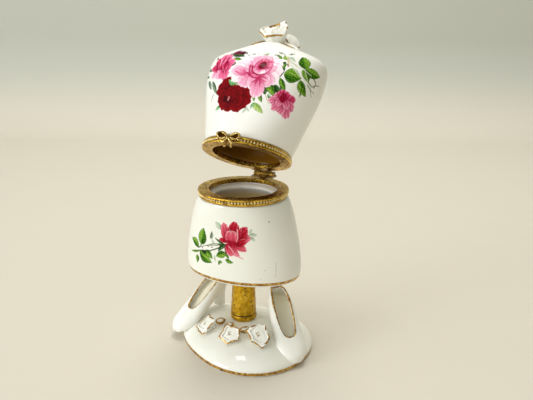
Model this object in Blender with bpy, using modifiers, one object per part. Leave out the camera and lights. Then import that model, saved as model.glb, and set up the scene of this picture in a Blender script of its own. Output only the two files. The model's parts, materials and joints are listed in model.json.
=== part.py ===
"""Porcelain trinket box shaped as a dressmaker's bust on a stand, with a hinged torso lid.

Metres, +Z up, +Y to the back. The origin is on the post's axis, on the surface that the box stands on.
The lid is modelled closed and then turned open about its hinge by its parent empty.
"""
import math

import bmesh
import bpy
from mathutils import Matrix, Vector

MM = 0.001
GAP = 0.3 * MM  # left between neighbouring solids

# Driving dimensions
PARTING_Z = 71.0 * MM  # the plane where lid and cup meet
BEZEL_R = 19.0 * MM  # outer radius of both brass bezels
BEZEL_BORE_R = 14.5 * MM
MOUND_TOP = 10.4 * MM
MOUND_EDGE = 1.8 * MM  # height of the mound's upright edge
POST_TOP = 32.7 * MM
SKIRT_FLOOR = 33.0 * MM
LID_OPEN = math.radians(30.0)
LID_LEAN = 0.052  # the bust is cemented a little askew: sideways shift for each unit of height

# Hinge
HINGE_Y = 23.8 * MM
KNUCKLE_R = 1.4 * MM
KNUCKLE_LENGTH = 3.1 * MM
KNUCKLE_PITCH = 3.25 * MM
PIN_R = 0.45 * MM
PIN_BORE_R = 0.53 * MM
PIN_LENGTH = 10.2 * MM
LEAF_WIDTH = 9.6 * MM
LEAF_THICKNESS = 0.8 * MM

AROUND = 48  # points round the large lofted shapes


# ---------------------------------------------------------------- helpers

def clear_scene():
    """Removes whatever the file holds."""
    for obj in list(bpy.data.objects):
        bpy.data.objects.remove(obj, do_unlink=True)


def make_collection(name):
    """Returns a new collection linked to the scene."""
    collection = bpy.data.collections.new(name)
    bpy.context.scene.collection.children.link(collection)
    return collection


def make_material(name, colour, roughness, metallic=0.0):
    """Returns a Principled material of one colour."""
    material = bpy.data.materials.new(name)
    material.use_nodes = True
    shader = material.node_tree.nodes["Principled BSDF"]
    shader.inputs["Base Color"].default_value = (*colour, 1.0)
    shader.inputs["Roughness"].default_value = roughness
    shader.inputs["Metallic"].default_value = metallic
    return material


def object_of(shape, name, material, collection):
    """Turns a bmesh into a smooth-shaded object and frees the bmesh."""
    bmesh.ops.recalc_face_normals(shape, faces=shape.faces)
    mesh = bpy.data.meshes.new(name)
    shape.to_mesh(mesh)
    shape.free()
    mesh.shade_smooth()
    mesh.set_sharp_from_angle(angle=math.radians(40))
    if material:
        mesh.materials.append(material)
    obj = bpy.data.objects.new(name, mesh)
    collection.objects.link(obj)
    return obj


def loft(rings, name, material, collection):
    """A closed skin through rings of equal point counts, with a face over the first and the last."""
    shape = bmesh.new()
    rows = [[shape.verts.new(point) for point in ring] for ring in rings]
    for low, high in zip(rows, rows[1:]):
        for i in range(len(low)):
            j = (i + 1) % len(low)
            shape.faces.new((low[i], low[j], high[j], high[i]))
    shape.faces.new(rows[0])
    shape.faces.new(rows[-1])
    return object_of(shape, name, material, collection)


def section(half_x, front, back, power, z, shift_x=0.0, count=AROUND):
    """One ring: a superellipse whose front (-Y) and back (+Y) halves have their own depths."""
    points = []
    for i in range(count):
        angle = 2 * math.pi * i / count
        c, s = math.cos(angle), math.sin(angle)
        x = half_x * math.copysign(abs(c) ** (2 / power), c)
        depth = front if s < 0 else back
        y = depth * math.copysign(abs(s) ** (2 / power), s)
        points.append((x + shift_x, y, z))
    return points


def turned(profile, name, material, collection, steps=48):
    """A closed profile of (radius, height) points turned about Z by a Screw modifier."""
    mesh = bpy.data.meshes.new(name)
    points = [(radius, 0.0, z) for radius, z in profile]
    on_axis = profile[0][0] == 0.0 and profile[-1][0] == 0.0
    count = len(points)
    edges = [(i, i + 1) for i in range(count - 1)]
    if not on_axis:
        edges.append((count - 1, 0))
    mesh.from_pydata(points, edges, [])
    if material:
        mesh.materials.append(material)
    obj = bpy.data.objects.new(name, mesh)
    collection.objects.link(obj)
    screw = obj.modifiers.new("Turn", "SCREW")
    screw.axis = "Z"
    screw.steps = steps
    screw.render_steps = steps
    screw.use_merge_vertices = True
    screw.merge_threshold = 1e-6
    screw.use_smooth_shade = True
    return obj


def box(low, high, name, material, collection):
    """A block between two corners."""
    shape = bmesh.new()
    bmesh.ops.create_cube(shape, size=1.0)
    low, high = Vector(low), Vector(high)
    size = high - low
    bmesh.ops.scale(shape, vec=size, verts=shape.verts)
    bmesh.ops.translate(shape, vec=(low + high) / 2, verts=shape.verts)
    return object_of(shape, name, material, collection)


def cylinder(radius, length, matrix, name, material, collection, end_radius=None, segments=24):
    """A cylinder or cone along its own Z, centred, then placed by the matrix."""
    shape = bmesh.new()
    bmesh.ops.create_cone(
        shape,
        cap_ends=True,
        segments=segments,
        radius1=radius,
        radius2=radius if end_radius is None else end_radius,
        depth=length,
        matrix=matrix,
    )
    return object_of(shape, name, material, collection)


def blob(size, matrix, name, material, collection, segments=20, rings=12):
    """An ellipsoid with half-sizes (x, y, z), placed by the matrix."""
    shape = bmesh.new()
    bmesh.ops.create_uvsphere(shape, u_segments=segments, v_segments=rings, radius=1.0)
    bmesh.ops.scale(shape, vec=size, verts=shape.verts)
    bmesh.ops.transform(shape, matrix=matrix, verts=shape.verts)
    return object_of(shape, name, material, collection)


def combine(obj, other, operation):
    """Adds a Boolean modifier with the EXACT solver."""
    modifier = obj.modifiers.new(operation.title(), "BOOLEAN")
    modifier.operation = operation
    modifier.solver = "EXACT"
    modifier.object = other


def as_cutter(obj):
    """Marks a helper that isn't part of the object."""
    obj.hide_render = True
    obj.display_type = "WIRE"
    return obj


def along_x(x=0.0, y=0.0, z=0.0):
    """A matrix that lays a cylinder along X with its middle at the given point."""
    return Matrix.Translation((x, y, z)) @ Matrix.Rotation(math.pi / 2, 4, "Y")


# ---------------------------------------------------------------- base mound

def mound_radius(angle):
    """Plan outline of the mound: a circle drawn out to the sides and to the front right by three harmonics."""
    return MM * (
        28.1
        + 2.1 * math.cos(angle)
        - 1.6 * math.sin(angle)
        + 2.3 * math.cos(2 * angle)
        - 1.4 * math.sin(2 * angle)
        - 0.7 * math.cos(3 * angle)
        + 0.4 * math.sin(3 * angle)
    )


def mound_height(share):
    """Height of the mound's skin at a share of the way from its middle to its outline."""
    return MOUND_EDGE + (MOUND_TOP - MOUND_EDGE) * (1 - share**2.3) ** 0.6


def mound_ring(share, z, inset=0.0):
    """A ring of the mound's outline, scaled by share and drawn in by inset."""
    ring = []
    for i in range(AROUND):
        angle = 2 * math.pi * i / AROUND
        radius = (mound_radius(angle) - inset) * share
        ring.append((radius * math.cos(angle), radius * math.sin(angle), z))
    return ring


MOUND_SHARES = (0.04, 0.2, 0.4, 0.56, 0.7, 0.8, 0.88, 0.94, 0.98, 1.0)


def mound_rings(grow=0.0, floor=0.0):
    """Rings of the whole mound from its underside to its top. Grow makes the skin larger all over."""
    rings = [mound_ring(0.04, floor), mound_ring(0.985, floor, -grow), mound_ring(1.0, floor + 0.5 * MM, -grow)]
    rings += [mound_ring(share, mound_height(share) + grow, -grow) for share in reversed(MOUND_SHARES)]
    return rings


def build_mound(porcelain, parts, cutters):
    """The slip-cast mound: hollow, with a flat underside and a small drain hole."""
    mound = loft(mound_rings(), "base_mound", porcelain, parts)
    wall = 3.0 * MM
    core_rings = [mound_ring(0.04, wall, wall), mound_ring(0.84, wall, wall)]
    for share in (0.78, 0.6, 0.3, 0.04):
        core_rings.append(mound_ring(share, mound_height(share) - wall, wall))
    core = as_cutter(loft(core_rings, "mound_core", None, cutters))
    drain_place = Matrix.Translation((0.0, 13.0 * MM, 1.6 * MM))
    drain = as_cutter(cylinder(2.2 * MM, 5.0 * MM, drain_place, "mound_drain", None, cutters))
    combine(mound, core, "DIFFERENCE")
    combine(mound, drain, "DIFFERENCE")
    return as_cutter(loft(mound_rings(GAP, -10 * MM), "mound_clearance", None, cutters))


def build_post(gilt, parts):
    """The gilded post: a slim taper with a scored line above its rounded foot."""
    foot = MOUND_TOP + GAP
    profile = [
        (0.0, POST_TOP),
        (4.7 * MM, POST_TOP),
        (4.9 * MM, POST_TOP - 0.3 * MM),
        (5.0 * MM, 27.0 * MM),
        (5.3 * MM, 20.0 * MM),
        (5.6 * MM, 13.4 * MM),
        (5.4 * MM, 13.1 * MM),
        (5.75 * MM, 12.8 * MM),
        (5.7 * MM, 11.6 * MM),
        (5.1 * MM, foot),
        (0.0, foot),
    ]
    return turned(profile, "post", gilt, parts, steps=32)


# ---------------------------------------------------------------- porcelain box

def rim_rings(side):
    """Rings of the porcelain rim inside its bezel, from outside to inside. Side is -1 for the cup and 1 for the lid."""
    rim = [
        (18.2, 3.2),
        (17.4, 3.05),
        (17.4, 1.6),
        (17.0, 1.25),
        (15.7, 1.25),
        (15.3, 1.6),
        (15.3, 2.4),
    ]
    return [
        section(radius * MM, radius * MM, radius * MM, 2, PARTING_Z + side * up * MM)
        for radius, up in rim
    ]


def build_cup(porcelain, parts):
    """The skirt: an oval cup under a round mouth, with a lip turned in below the bezel."""
    outside = [  # height, half width, half depth, all in mm
        (33.0, 1.0, 1.0),
        (33.0, 22.6, 14.6),
        (33.6, 24.6, 16.3),
        (35.0, 25.4, 17.0),
        (38.0, 25.7, 17.3),
        (42.0, 25.5, 17.5),
        (47.0, 24.9, 17.8),
        (52.0, 23.9, 18.1),
        (58.0, 22.5, 18.3),
        (64.0, 20.6, 18.4),
        (67.0, 19.1, 18.4),
    ]
    inside = [
        (68.4, 14.6, 14.6),
        (68.2, 13.2, 13.2),
        (67.6, 12.4, 12.4),
        (66.6, 12.6, 12.5),
        (64.0, 15.0, 14.4),
        (58.0, 18.6, 15.0),
        (50.0, 20.8, 14.6),
        (42.0, 21.6, 14.0),
        (38.5, 20.4, 13.0),
        (37.0, 16.0, 10.0),
        (37.0, 1.0, 1.0),
    ]
    rings = [section(a * MM, b * MM, b * MM, 2, z * MM) for z, a, b in outside]
    rings += rim_rings(-1)
    rings += [section(a * MM, b * MM, b * MM, 2, z * MM) for z, a, b in inside]
    return loft(rings, "skirt_cup", porcelain, parts)


TORSO_OUTSIDE = [  # height over the parting plane, half width, front depth, back depth, power
    (4.0, 18.6, 18.2, 18.2, 2.0),
    (8.0, 19.8, 17.6, 17.2, 2.1),
    (15.0, 21.6, 17.0, 15.8, 2.25),
    (22.0, 23.4, 17.2, 15.0, 2.35),
    (28.5, 24.8, 17.4, 14.6, 2.45),
    (34.6, 25.4, 16.4, 14.0, 2.5),
    (39.2, 25.4, 14.2, 13.0, 2.5),
    (42.0, 24.6, 12.0, 11.6, 2.4),
    (44.4, 21.4, 10.4, 10.0, 2.2),
    (46.6, 16.0, 9.0, 8.8, 2.1),
    (48.4, 11.0, 8.0, 7.8, 2.0),
    (49.8, 7.4, 6.4, 6.2, 2.0),
    (51.4, 5.2, 4.8, 4.8, 2.0),
    (53.0, 4.6, 4.4, 4.4, 2.0),
    (53.0, 1.0, 1.0, 1.0, 2.0),
]
NECK_TOP = 53.0 * MM  # height of the neck stump over the parting plane


def torso_ring(row, grow=0.0):
    """One ring of the bust, shifted sideways by the lean. Grow makes it larger all round."""
    up, half, front, back, power = row
    return section(
        half * MM + grow,
        front * MM + grow,
        back * MM + grow,
        power,
        PARTING_Z + up * MM,
        LID_LEAN * up * MM,
    )


def build_torso(porcelain, parts, cutters):
    """The bust: shoulders cut square at the arms, a stump of a neck, and a hollow open at the waist."""
    inside = [
        (44.4, 1.0, 1.0, 1.0, 2.0),
        (43.8, 11.0, 5.6, 5.6, 2.0),
        (40.4, 19.8, 8.8, 8.6, 2.2),
        (36.4, 21.8, 11.4, 10.4, 2.3),
        (29.0, 21.4, 13.8, 11.2, 2.3),
        (20.0, 19.6, 13.6, 11.8, 2.2),
        (10.0, 16.8, 14.0, 13.6, 2.1),
        (5.0, 15.2, 15.0, 15.0, 2.0),
        (3.2, 14.9, 14.9, 14.9, 2.0),
    ]
    rings = [torso_ring(row) for row in inside]
    rings += reversed(rim_rings(1))
    rings += [torso_ring(row) for row in TORSO_OUTSIDE]
    torso = loft(rings, "torso", porcelain, parts)
    skin = [torso_ring(row, GAP) for row in TORSO_OUTSIDE[:-2]]
    top = ((NECK_TOP + GAP) / MM, 4.6, 4.4, 4.4, 2.0)
    clearance = as_cutter(loft(skin + [torso_ring(top)], "torso_clearance", None, cutters))
    return torso, clearance


# ---------------------------------------------------------------- brass fittings

def bezel_profile(side):
    """Cross-section of a bezel as (radius, height): flat face, thin edge, bead groove, lip and channel."""
    points = [  # radius and distance from the parting plane, in mm
        (14.5, 0.15),
        (18.7, 0.15),
        (19.0, 0.4),
        (19.0, 0.8),
        (18.45, 1.0),
        (18.45, 1.85),
        (18.75, 2.0),
        (18.75, 2.5),
        (18.5, 2.75),
        (17.7, 2.75),
        (17.7, 0.95),
        (15.0, 0.95),
        (15.0, 1.9),
        (14.5, 1.9),
    ]
    profile = [(radius * MM, PARTING_Z + side * up * MM) for radius, up in points]
    return profile if side < 0 else list(reversed(profile))


def build_bezels(brass, parts):
    """The two brass bezels, one on the cup's mouth and one on the lid's."""
    lower = turned(bezel_profile(-1), "lower_bezel", brass, parts)
    upper = turned(bezel_profile(1), "upper_bezel", brass, parts)
    return lower, upper


def back_plate(side, name, material, collection):
    """The plate that hugs the back of a bezel: a slice of a ring, as a curved strip."""
    inner, outer = BEZEL_R + GAP, BEZEL_R + GAP + LEAF_THICKNESS
    near, far = PARTING_Z + side * 0.2 * MM, PARTING_Z + side * 2.6 * MM
    half = LEAF_WIDTH / 2
    rings = []
    steps = 8
    for i in range(steps + 1):
        angle = math.asin(half / outer) * (2 * i / steps - 1)
        s, c = math.sin(angle), math.cos(angle)
        corners = ((inner, near), (outer, near), (outer, far), (inner, far))
        rings.append([(r * s, r * c, z) for r, z in corners])
    return loft(rings, name, material, collection)


def knuckle(index, name, material, collection):
    """One knuckle of the hinge; index is -1, 0 or 1 along the pin."""
    place = along_x(index * KNUCKLE_PITCH, HINGE_Y, PARTING_Z)
    return cylinder(KNUCKLE_R, KNUCKLE_LENGTH, place, name, material, collection)


def arm(index, side, name, material, collection):
    """The tongue of metal that joins a knuckle to its back plate."""
    x = index * KNUCKLE_PITCH
    half = KNUCKLE_LENGTH / 2
    near, far = PARTING_Z + side * 0.2 * MM, PARTING_Z + side * 1.3 * MM
    low = (x - half, BEZEL_R + GAP + 0.3 * MM, min(near, far))
    high = (x + half, HINGE_Y - 0.3 * MM, max(near, far))
    return box(low, high, name, material, collection)


def build_hinge(brass, parts, cutters):
    """Both leaves and the pin. The outer knuckles belong to the cup, the middle one to the lid."""
    bore_place = along_x(0.0, HINGE_Y, PARTING_Z)
    bore = as_cutter(cylinder(PIN_BORE_R, 2 * PIN_LENGTH, bore_place, "hinge_bore", None, cutters))

    lower = back_plate(-1, "lower_hinge_leaf", brass, parts)
    stop_low = (-LEAF_WIDTH / 2, HINGE_Y + 1.7 * MM, PARTING_Z - 1.5 * MM)
    stop_high = (LEAF_WIDTH / 2, HINGE_Y + 2.8 * MM, PARTING_Z - 0.7 * MM)
    joined = [box(stop_low, stop_high, "stop_bar", None, cutters)]
    for index in (-1, 1):
        joined.append(knuckle(index, f"lower_knuckle_{index}", None, cutters))
        joined.append(arm(index, -1, f"lower_arm_{index}", None, cutters))
        x = index * KNUCKLE_PITCH
        half = KNUCKLE_LENGTH / 2 - 0.05 * MM
        low = (x - half, HINGE_Y + 0.4 * MM, PARTING_Z - 1.2 * MM)
        high = (x + half, HINGE_Y + 2.4 * MM, PARTING_Z - 0.8 * MM)
        joined.append(box(low, high, f"stop_cheek_{index}", None, cutters))
    for piece in joined:
        combine(lower, as_cutter(piece), "UNION")
    combine(lower, bore, "DIFFERENCE")

    upper = back_plate(1, "upper_hinge_leaf", brass, parts)
    half = KNUCKLE_LENGTH / 2
    lug = box(
        (-half, -0.45 * MM, -0.55 * MM),
        (half, 2.7 * MM, 0.35 * MM),
        "stop_lug",
        None,
        cutters,
    )
    closed_turn = Matrix.Rotation(LID_OPEN, 4, "X")
    lug.data.transform(Matrix.Translation((0.0, HINGE_Y, PARTING_Z)) @ closed_turn)
    for piece in (knuckle(0, "upper_knuckle", None, cutters), arm(0, 1, "upper_arm", None, cutters), lug):
        combine(upper, as_cutter(piece), "UNION")
    combine(upper, bore, "DIFFERENCE")

    pin = cylinder(PIN_R, PIN_LENGTH, bore_place, "hinge_pin", brass, parts, segments=16)
    return lower, upper, pin


def build_catch(brass, parts):
    """The round nib on the cup's bezel that the lid's tongue drops over."""
    place = Matrix.Translation((0.0, -19.85 * MM, PARTING_Z - 1.5 * MM)) @ Matrix.Rotation(math.pi / 2, 4, "X")
    return cylinder(0.7 * MM, 1.1 * MM, place, "catch_nib", brass, parts, end_radius=0.45 * MM, segments=20)


def build_tongue(brass, parts, cutters):
    """The thin tongue behind the bow, notched from below to straddle the nib."""
    tongue = box(
        (-1.9 * MM, -19.85 * MM, PARTING_Z - 2.2 * MM),
        (1.9 * MM, -19.3 * MM, PARTING_Z + 2.4 * MM),
        "clasp_tongue",
        brass,
        parts,
    )
    notch = box(
        (-0.95 * MM, -22.0 * MM, PARTING_Z - 3.0 * MM),
        (0.95 * MM, -18.0 * MM, PARTING_Z - 0.55 * MM),
        "tongue_notch",
        None,
        cutters,
    )
    combine(tongue, as_cutter(notch), "DIFFERENCE")
    return tongue


def build_bow(brass, parts, cutters):
    """The cast ribbon bow on the lid's bezel: two loops, two tails and a knot."""
    y, z = -20.95 * MM, PARTING_Z + 1.3 * MM
    knot_place = Matrix.Translation((0.0, y, z))
    bow = blob((1.3 * MM, 0.8 * MM, 1.2 * MM), knot_place, "clasp_bow", brass, parts, 12, 8)
    for side in (-1, 1):
        loop_place = Matrix.Translation((side * 2.9 * MM, y, z + 0.6 * MM)) @ Matrix.Rotation(-side * 0.25, 4, "Y")
        loop = blob((2.5 * MM, 0.75 * MM, 1.7 * MM), loop_place, f"bow_loop_{side}", None, cutters, 14, 8)
        tail_place = Matrix.Translation((side * 2.0 * MM, y, z - 1.5 * MM)) @ Matrix.Rotation(side * 0.9, 4, "Y")
        tail = blob((2.0 * MM, 0.55 * MM, 0.75 * MM), tail_place, f"bow_tail_{side}", None, cutters, 10, 6)
        combine(bow, as_cutter(loop), "UNION")
        combine(bow, as_cutter(tail), "UNION")
    return bow


# ---------------------------------------------------------------- applied flowers and leaves

def rose_rings(radius, depth):
    """Rings of a shallow five-petalled rose cup, from its foot over the rim to its middle."""
    rows = [  # share of radius, share of depth, depth of the lobes
        (0.15, 0.0, 0.0),
        (0.5, 0.08, 0.0),
        (0.85, 0.5, 0.05),
        (1.0, 0.92, 0.1),
        (0.9, 1.0, 0.1),
        (0.7, 0.72, 0.06),
        (0.45, 0.7, 0.0),
        (0.25, 0.9, 0.0),
        (0.06, 0.92, 0.0),
    ]
    count = 30
    rings = []
    for out, up, lobe in rows:
        ring = []
        for i in range(count):
            angle = 2 * math.pi * i / count
            r = radius * out * (1 + lobe * math.cos(5 * angle))
            ring.append((r * math.cos(angle), r * math.sin(angle), depth * up))
        rings.append(ring)
    return rings


def facing(place, outward, spin=0.0):
    """A matrix that stands local +Z along outward at a place, turned by spin about it."""
    turn = Vector(outward).to_track_quat("Z", "Y").to_matrix().to_4x4()
    return Matrix.Translation(place) @ turn @ Matrix.Rotation(spin, 4, "Z")


def build_rose(name, radius, depth, place, outward, porcelain, parts, clearance):
    """One applied rose, trimmed where it meets the piece it sits on."""
    rose = loft(rose_rings(radius, depth), name, porcelain, parts)
    rose.data.transform(facing(place, outward))
    combine(rose, clearance, "DIFFERENCE")
    return rose


def build_leaf(name, size, place, outward, spin, porcelain, parts, clearance):
    """One applied leaf, a flat pointed oval, trimmed where it meets the piece it lies on."""
    leaf = blob(size, facing(place, outward, spin), name, porcelain, parts, 16, 8)
    combine(leaf, clearance, "DIFFERENCE")
    return leaf


BASE_ROSES = {  # name: radius, place, direction that it faces
    "rose_left": (4.4, (-11.2, -11.8, 9.2), (-0.3, -0.58, 0.75)),
    "rose_middle": (4.5, (1.1, -15.6, 9.2), (0.05, -0.66, 0.75)),
    "rose_right": (5.4, (11.8, -12.8, 9.3), (0.28, -0.56, 0.8)),
}
BASE_LEAVES = {  # name: place, direction that it faces, spin
    "rose_leaf_left": ((-8.2, -7.0, 10.9), (0.0, -0.3, 0.9), 0.5),
    "rose_leaf_middle": ((-2.4, -9.6, 10.8), (0.0, -0.35, 0.9), -0.2),
    "rose_leaf_right": ((6.5, -10.8, 10.6), (-0.1, -0.4, 0.9), 2.2),
}


def build_base_flowers(porcelain, parts, clearance):
    """Three roses and three small leaves on the front of the mound."""
    made = []
    for name, (radius, place, outward) in BASE_ROSES.items():
        at = Vector(place) * MM
        made.append(build_rose(name, radius * MM, 3.8 * MM, at, outward, porcelain, parts, clearance))
    for name, (place, outward, spin) in BASE_LEAVES.items():
        at = Vector(place) * MM
        size = (2.4 * MM, 1.3 * MM, 0.6 * MM)
        made.append(build_leaf(name, size, at, outward, spin, porcelain, parts, clearance))
    return made


def build_neck_flowers(porcelain, parts, clearance):
    """The rose on the neck stump and the three leaves that lie round it."""
    lean = LID_LEAN * NECK_TOP
    top = PARTING_Z + NECK_TOP
    rose_at = Vector((lean + 0.6 * MM, -0.6 * MM, top + 1.2 * MM))
    made = [build_rose("neck_rose", 5.8 * MM, 7.0 * MM, rose_at, (-0.05, -0.6, 0.8), porcelain, parts, clearance)]
    leaves = {
        "neck_leaf_left": ((-8.6, -3.4, -4.2), (-0.45, -0.45, 0.8), 0.2),
        "neck_leaf_right": ((8.0, -3.4, -3.6), (0.42, -0.5, 0.8), -0.3),
        "neck_leaf_back": ((7.0, 5.4, -2.2), (0.6, 0.5, 0.65), 0.5),
    }
    for name, (offset, outward, spin) in leaves.items():
        at = Vector((lean, 0.0, top)) + Vector(offset) * MM
        size = (5.2 * MM, 3.2 * MM, 1.1 * MM)
        made.append(build_leaf(name, size, at, outward, spin, porcelain, parts, clearance))
    return made


# ---------------------------------------------------------------- shoes

SHOE_SECTIONS = [  # distance towards the toe, height of the sole, half width, height of the upper, in mm
    (-3.8, 19.6, 1.8, 3.2),
    (-2.8, 18.4, 4.0, 6.4),
    (0.0, 17.6, 5.3, 8.2),
    (4.0, 15.4, 5.6, 8.6),
    (8.0, 12.4, 5.8, 8.0),
    (12.0, 9.2, 6.1, 7.0),
    (16.0, 6.3, 6.4, 6.0),
    (19.0, 4.5, 6.3, 5.2),
    (22.0, 3.2, 5.3, 4.5),
    (24.2, 2.5, 3.5, 3.3),
    (25.2, 2.3, 1.5, 1.8),
]


def shoe_ring(row, count=24):
    """One upright section of the shoe: flat below, rounded above."""
    along, sole, half, height = row
    ring = []
    for i in range(count):
        angle = 2 * math.pi * i / count
        c, s = math.cos(angle), math.sin(angle)
        y = half * math.copysign(abs(c) ** 0.8, c)
        z = 0.62 * height * s if s > 0 else 0.38 * height * math.copysign(abs(s) ** 0.5, s)
        ring.append((along * MM, y * MM, (sole + 0.38 * height + z) * MM))
    return ring


def build_shoe(name, heel_at, heading, pitch, porcelain, parts, cutters, clearance):
    """A court shoe in one casting: upper, arched sole and tapered heel, hollowed at the top."""
    rings = [shoe_ring(row) for row in SHOE_SECTIONS]
    shoe = loft(rings, name, porcelain, parts)
    heel_place = Matrix.Translation((0.2 * MM, 0.0, 13.6 * MM))
    heel = cylinder(2.0 * MM, 9.6 * MM, heel_place, f"{name}_heel", None, cutters, end_radius=3.1 * MM)
    slope = Matrix.Rotation(math.radians(40), 4, "Y")
    hollow_place = Matrix.Translation((8.0 * MM, 0.0, 19.6 * MM)) @ slope
    hollow = blob((12.6 * MM, 4.4 * MM, 4.9 * MM), hollow_place, f"{name}_hollow", None, cutters, 24, 14)
    stance = (
        Matrix.Translation((heel_at[0] * MM, heel_at[1] * MM, 0.0))
        @ Matrix.Rotation(math.radians(heading), 4, "Z")
        @ Matrix.Translation((0.0, 0.0, 9.8 * MM))
        @ Matrix.Rotation(math.radians(-pitch), 4, "Y")
        @ Matrix.Translation((0.0, 0.0, -9.8 * MM))
    )
    for piece in (shoe, heel, hollow):
        piece.data.transform(stance)
    combine(shoe, as_cutter(heel), "UNION")
    combine(shoe, as_cutter(hollow), "DIFFERENCE")
    combine(shoe, clearance, "DIFFERENCE")
    return shoe


# ---------------------------------------------------------------- assembly

def main():
    clear_scene()
    parts = make_collection("porcelain_trinket_box")
    cutters = make_collection("cutters")
    porcelain = make_material("porcelain_glaze", (0.86, 0.85, 0.80), 0.12)
    brass = make_material("bezel_brass", (0.62, 0.40, 0.10), 0.3, 1.0)
    gilt = make_material("gilt_post", (0.55, 0.36, 0.05), 0.35, 0.8)

    mound_clearance = build_mound(porcelain, parts, cutters)
    build_post(gilt, parts)
    build_cup(porcelain, parts)
    build_base_flowers(porcelain, parts, mound_clearance)
    build_shoe("shoe_left", (-17.5, 10.6), 244.5, 2.5, porcelain, parts, cutters, mound_clearance)
    build_shoe("shoe_right", (13.9, 5.2), -50.0, 0.0, porcelain, parts, cutters, mound_clearance)
    upper_bezel = build_bezels(brass, parts)[1]
    upper_leaf = build_hinge(brass, parts, cutters)[1]
    build_catch(brass, parts)

    torso, torso_clearance = build_torso(porcelain, parts, cutters)
    lid_pieces = [torso, upper_bezel, upper_leaf, build_tongue(brass, parts, cutters)]
    lid_pieces.append(build_bow(brass, parts, cutters))
    lid_pieces += build_neck_flowers(porcelain, parts, torso_clearance)

    hinge = bpy.data.objects.new("lid_hinge", None)
    parts.objects.link(hinge)
    hinge.location = (0.0, HINGE_Y, PARTING_Z)
    closed = Matrix.Translation(-hinge.location)
    lid_helpers = [modifier.object for piece in lid_pieces for modifier in piece.modifiers if modifier.type == "BOOLEAN"]
    for piece in {*lid_pieces, *lid_helpers}:
        piece.parent = hinge
        piece.matrix_parent_inverse = closed
    hinge.rotation_euler = (-LID_OPEN, 0.0, 0.0)


main()
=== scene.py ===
"""Finished look of a porcelain trinket box shaped as a dressmaker's bust on a stand.

Shapes are worked out in millimetres with the lid closed, and go into their meshes in metres. Lid pieces are
then turned open about the hinge. Angles round a ring start at the front (-Y) and grow towards +X.
"""
import json
import logging
import math
from dataclasses import dataclass, field
from enum import Enum
from typing import Any, Callable, Sequence

import bpy
import numpy as np
from mathutils import Matrix, Vector


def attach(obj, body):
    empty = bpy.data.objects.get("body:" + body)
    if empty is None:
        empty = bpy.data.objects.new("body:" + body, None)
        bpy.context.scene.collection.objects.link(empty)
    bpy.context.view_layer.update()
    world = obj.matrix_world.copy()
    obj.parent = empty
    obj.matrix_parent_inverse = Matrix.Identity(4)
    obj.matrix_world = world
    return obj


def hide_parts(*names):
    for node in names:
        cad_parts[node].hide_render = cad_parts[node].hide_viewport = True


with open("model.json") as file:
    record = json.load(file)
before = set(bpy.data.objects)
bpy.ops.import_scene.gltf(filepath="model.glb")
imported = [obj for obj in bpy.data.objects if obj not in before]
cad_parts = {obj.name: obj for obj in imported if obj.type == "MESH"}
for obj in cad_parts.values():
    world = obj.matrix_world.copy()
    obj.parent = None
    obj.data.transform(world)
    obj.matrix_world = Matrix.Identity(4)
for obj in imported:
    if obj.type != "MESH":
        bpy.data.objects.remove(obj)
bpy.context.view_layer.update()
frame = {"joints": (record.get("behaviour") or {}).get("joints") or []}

LOG = logging.getLogger("trinket_box")
MM = 0.001
HINGE = frame["joints"][0]
HINGE_Y, HINGE_Z = (HINGE["pos_m"][axis] / MM for axis in (1, 2))
OPEN_ANGLE = math.radians(HINGE["range_deg"][1])
PARTING_Z = HINGE_Z
TAU = 2 * math.pi

Array = np.ndarray
Colour = tuple[float, float, float]
Point = tuple[float, float, float]
Strokes = Sequence[tuple[Any, ...]]


class Body(Enum):
    """The two bodies that pieces ride on."""

    STAND = "stand"
    LID = "lid"


class Slot(Enum):
    """The record's material slots."""

    GLAZE = "porcelain_glaze"
    BRASS = "bezel_brass"
    GILT = "gilt_post"


# ---------------------------------------------------------------- numbers and curves


def linear(colour: Sequence[float] | Array) -> Array:
    """Turns 0 to 255 display values into linear light.

    Args:
        colour: Display values in the last axis.

    Returns:
        Linear values from 0 to 1.
    """
    share = np.asarray(colour, float) / 255
    return np.where(share <= 0.04045, share / 12.92, ((share + 0.055) / 1.055) ** 2.4)


def ease(values: Array) -> Array:
    """Smooth step: 3x^2 - 2x^3 on values held to 0..1."""
    held = np.clip(values, 0, 1)
    return held * held * (3 - 2 * held)


def smooth_through(controls: Sequence[Sequence[float]], count: int | Array) -> Array:
    """Catmull-Rom curve through control rows.

    Args:
        controls: Rows of numbers that the curve passes through.
        count: How many even samples to take, or the positions to sample, one unit for each control row.

    Returns:
        One row of numbers for each sample.
    """
    rows = np.asarray(controls, float)
    last = len(rows) - 1
    at = np.linspace(0, last, count) if isinstance(count, int) else np.asarray(count, float)
    padded = np.vstack([2 * rows[0] - rows[1], rows, 2 * rows[-1] - rows[-2]])
    low = np.clip(np.floor(at).astype(int), 0, last - 1)
    t = (at - low)[:, None]
    a, b, c, d = (padded[low + step] for step in range(4))
    return 0.5 * (2 * b + (c - a) * t + (2 * a - 5 * b + 4 * c - d) * t**2 + (3 * b - a - 3 * c + d) * t**3)


def stretches(*runs: tuple[float, float, int]) -> Array:
    """Joins runs of even steps, each given as start, end and number of steps, and drops the doubled ends."""
    return np.unique(np.concatenate([np.linspace(start, end, steps + 1) for start, end, steps in runs]))


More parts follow.
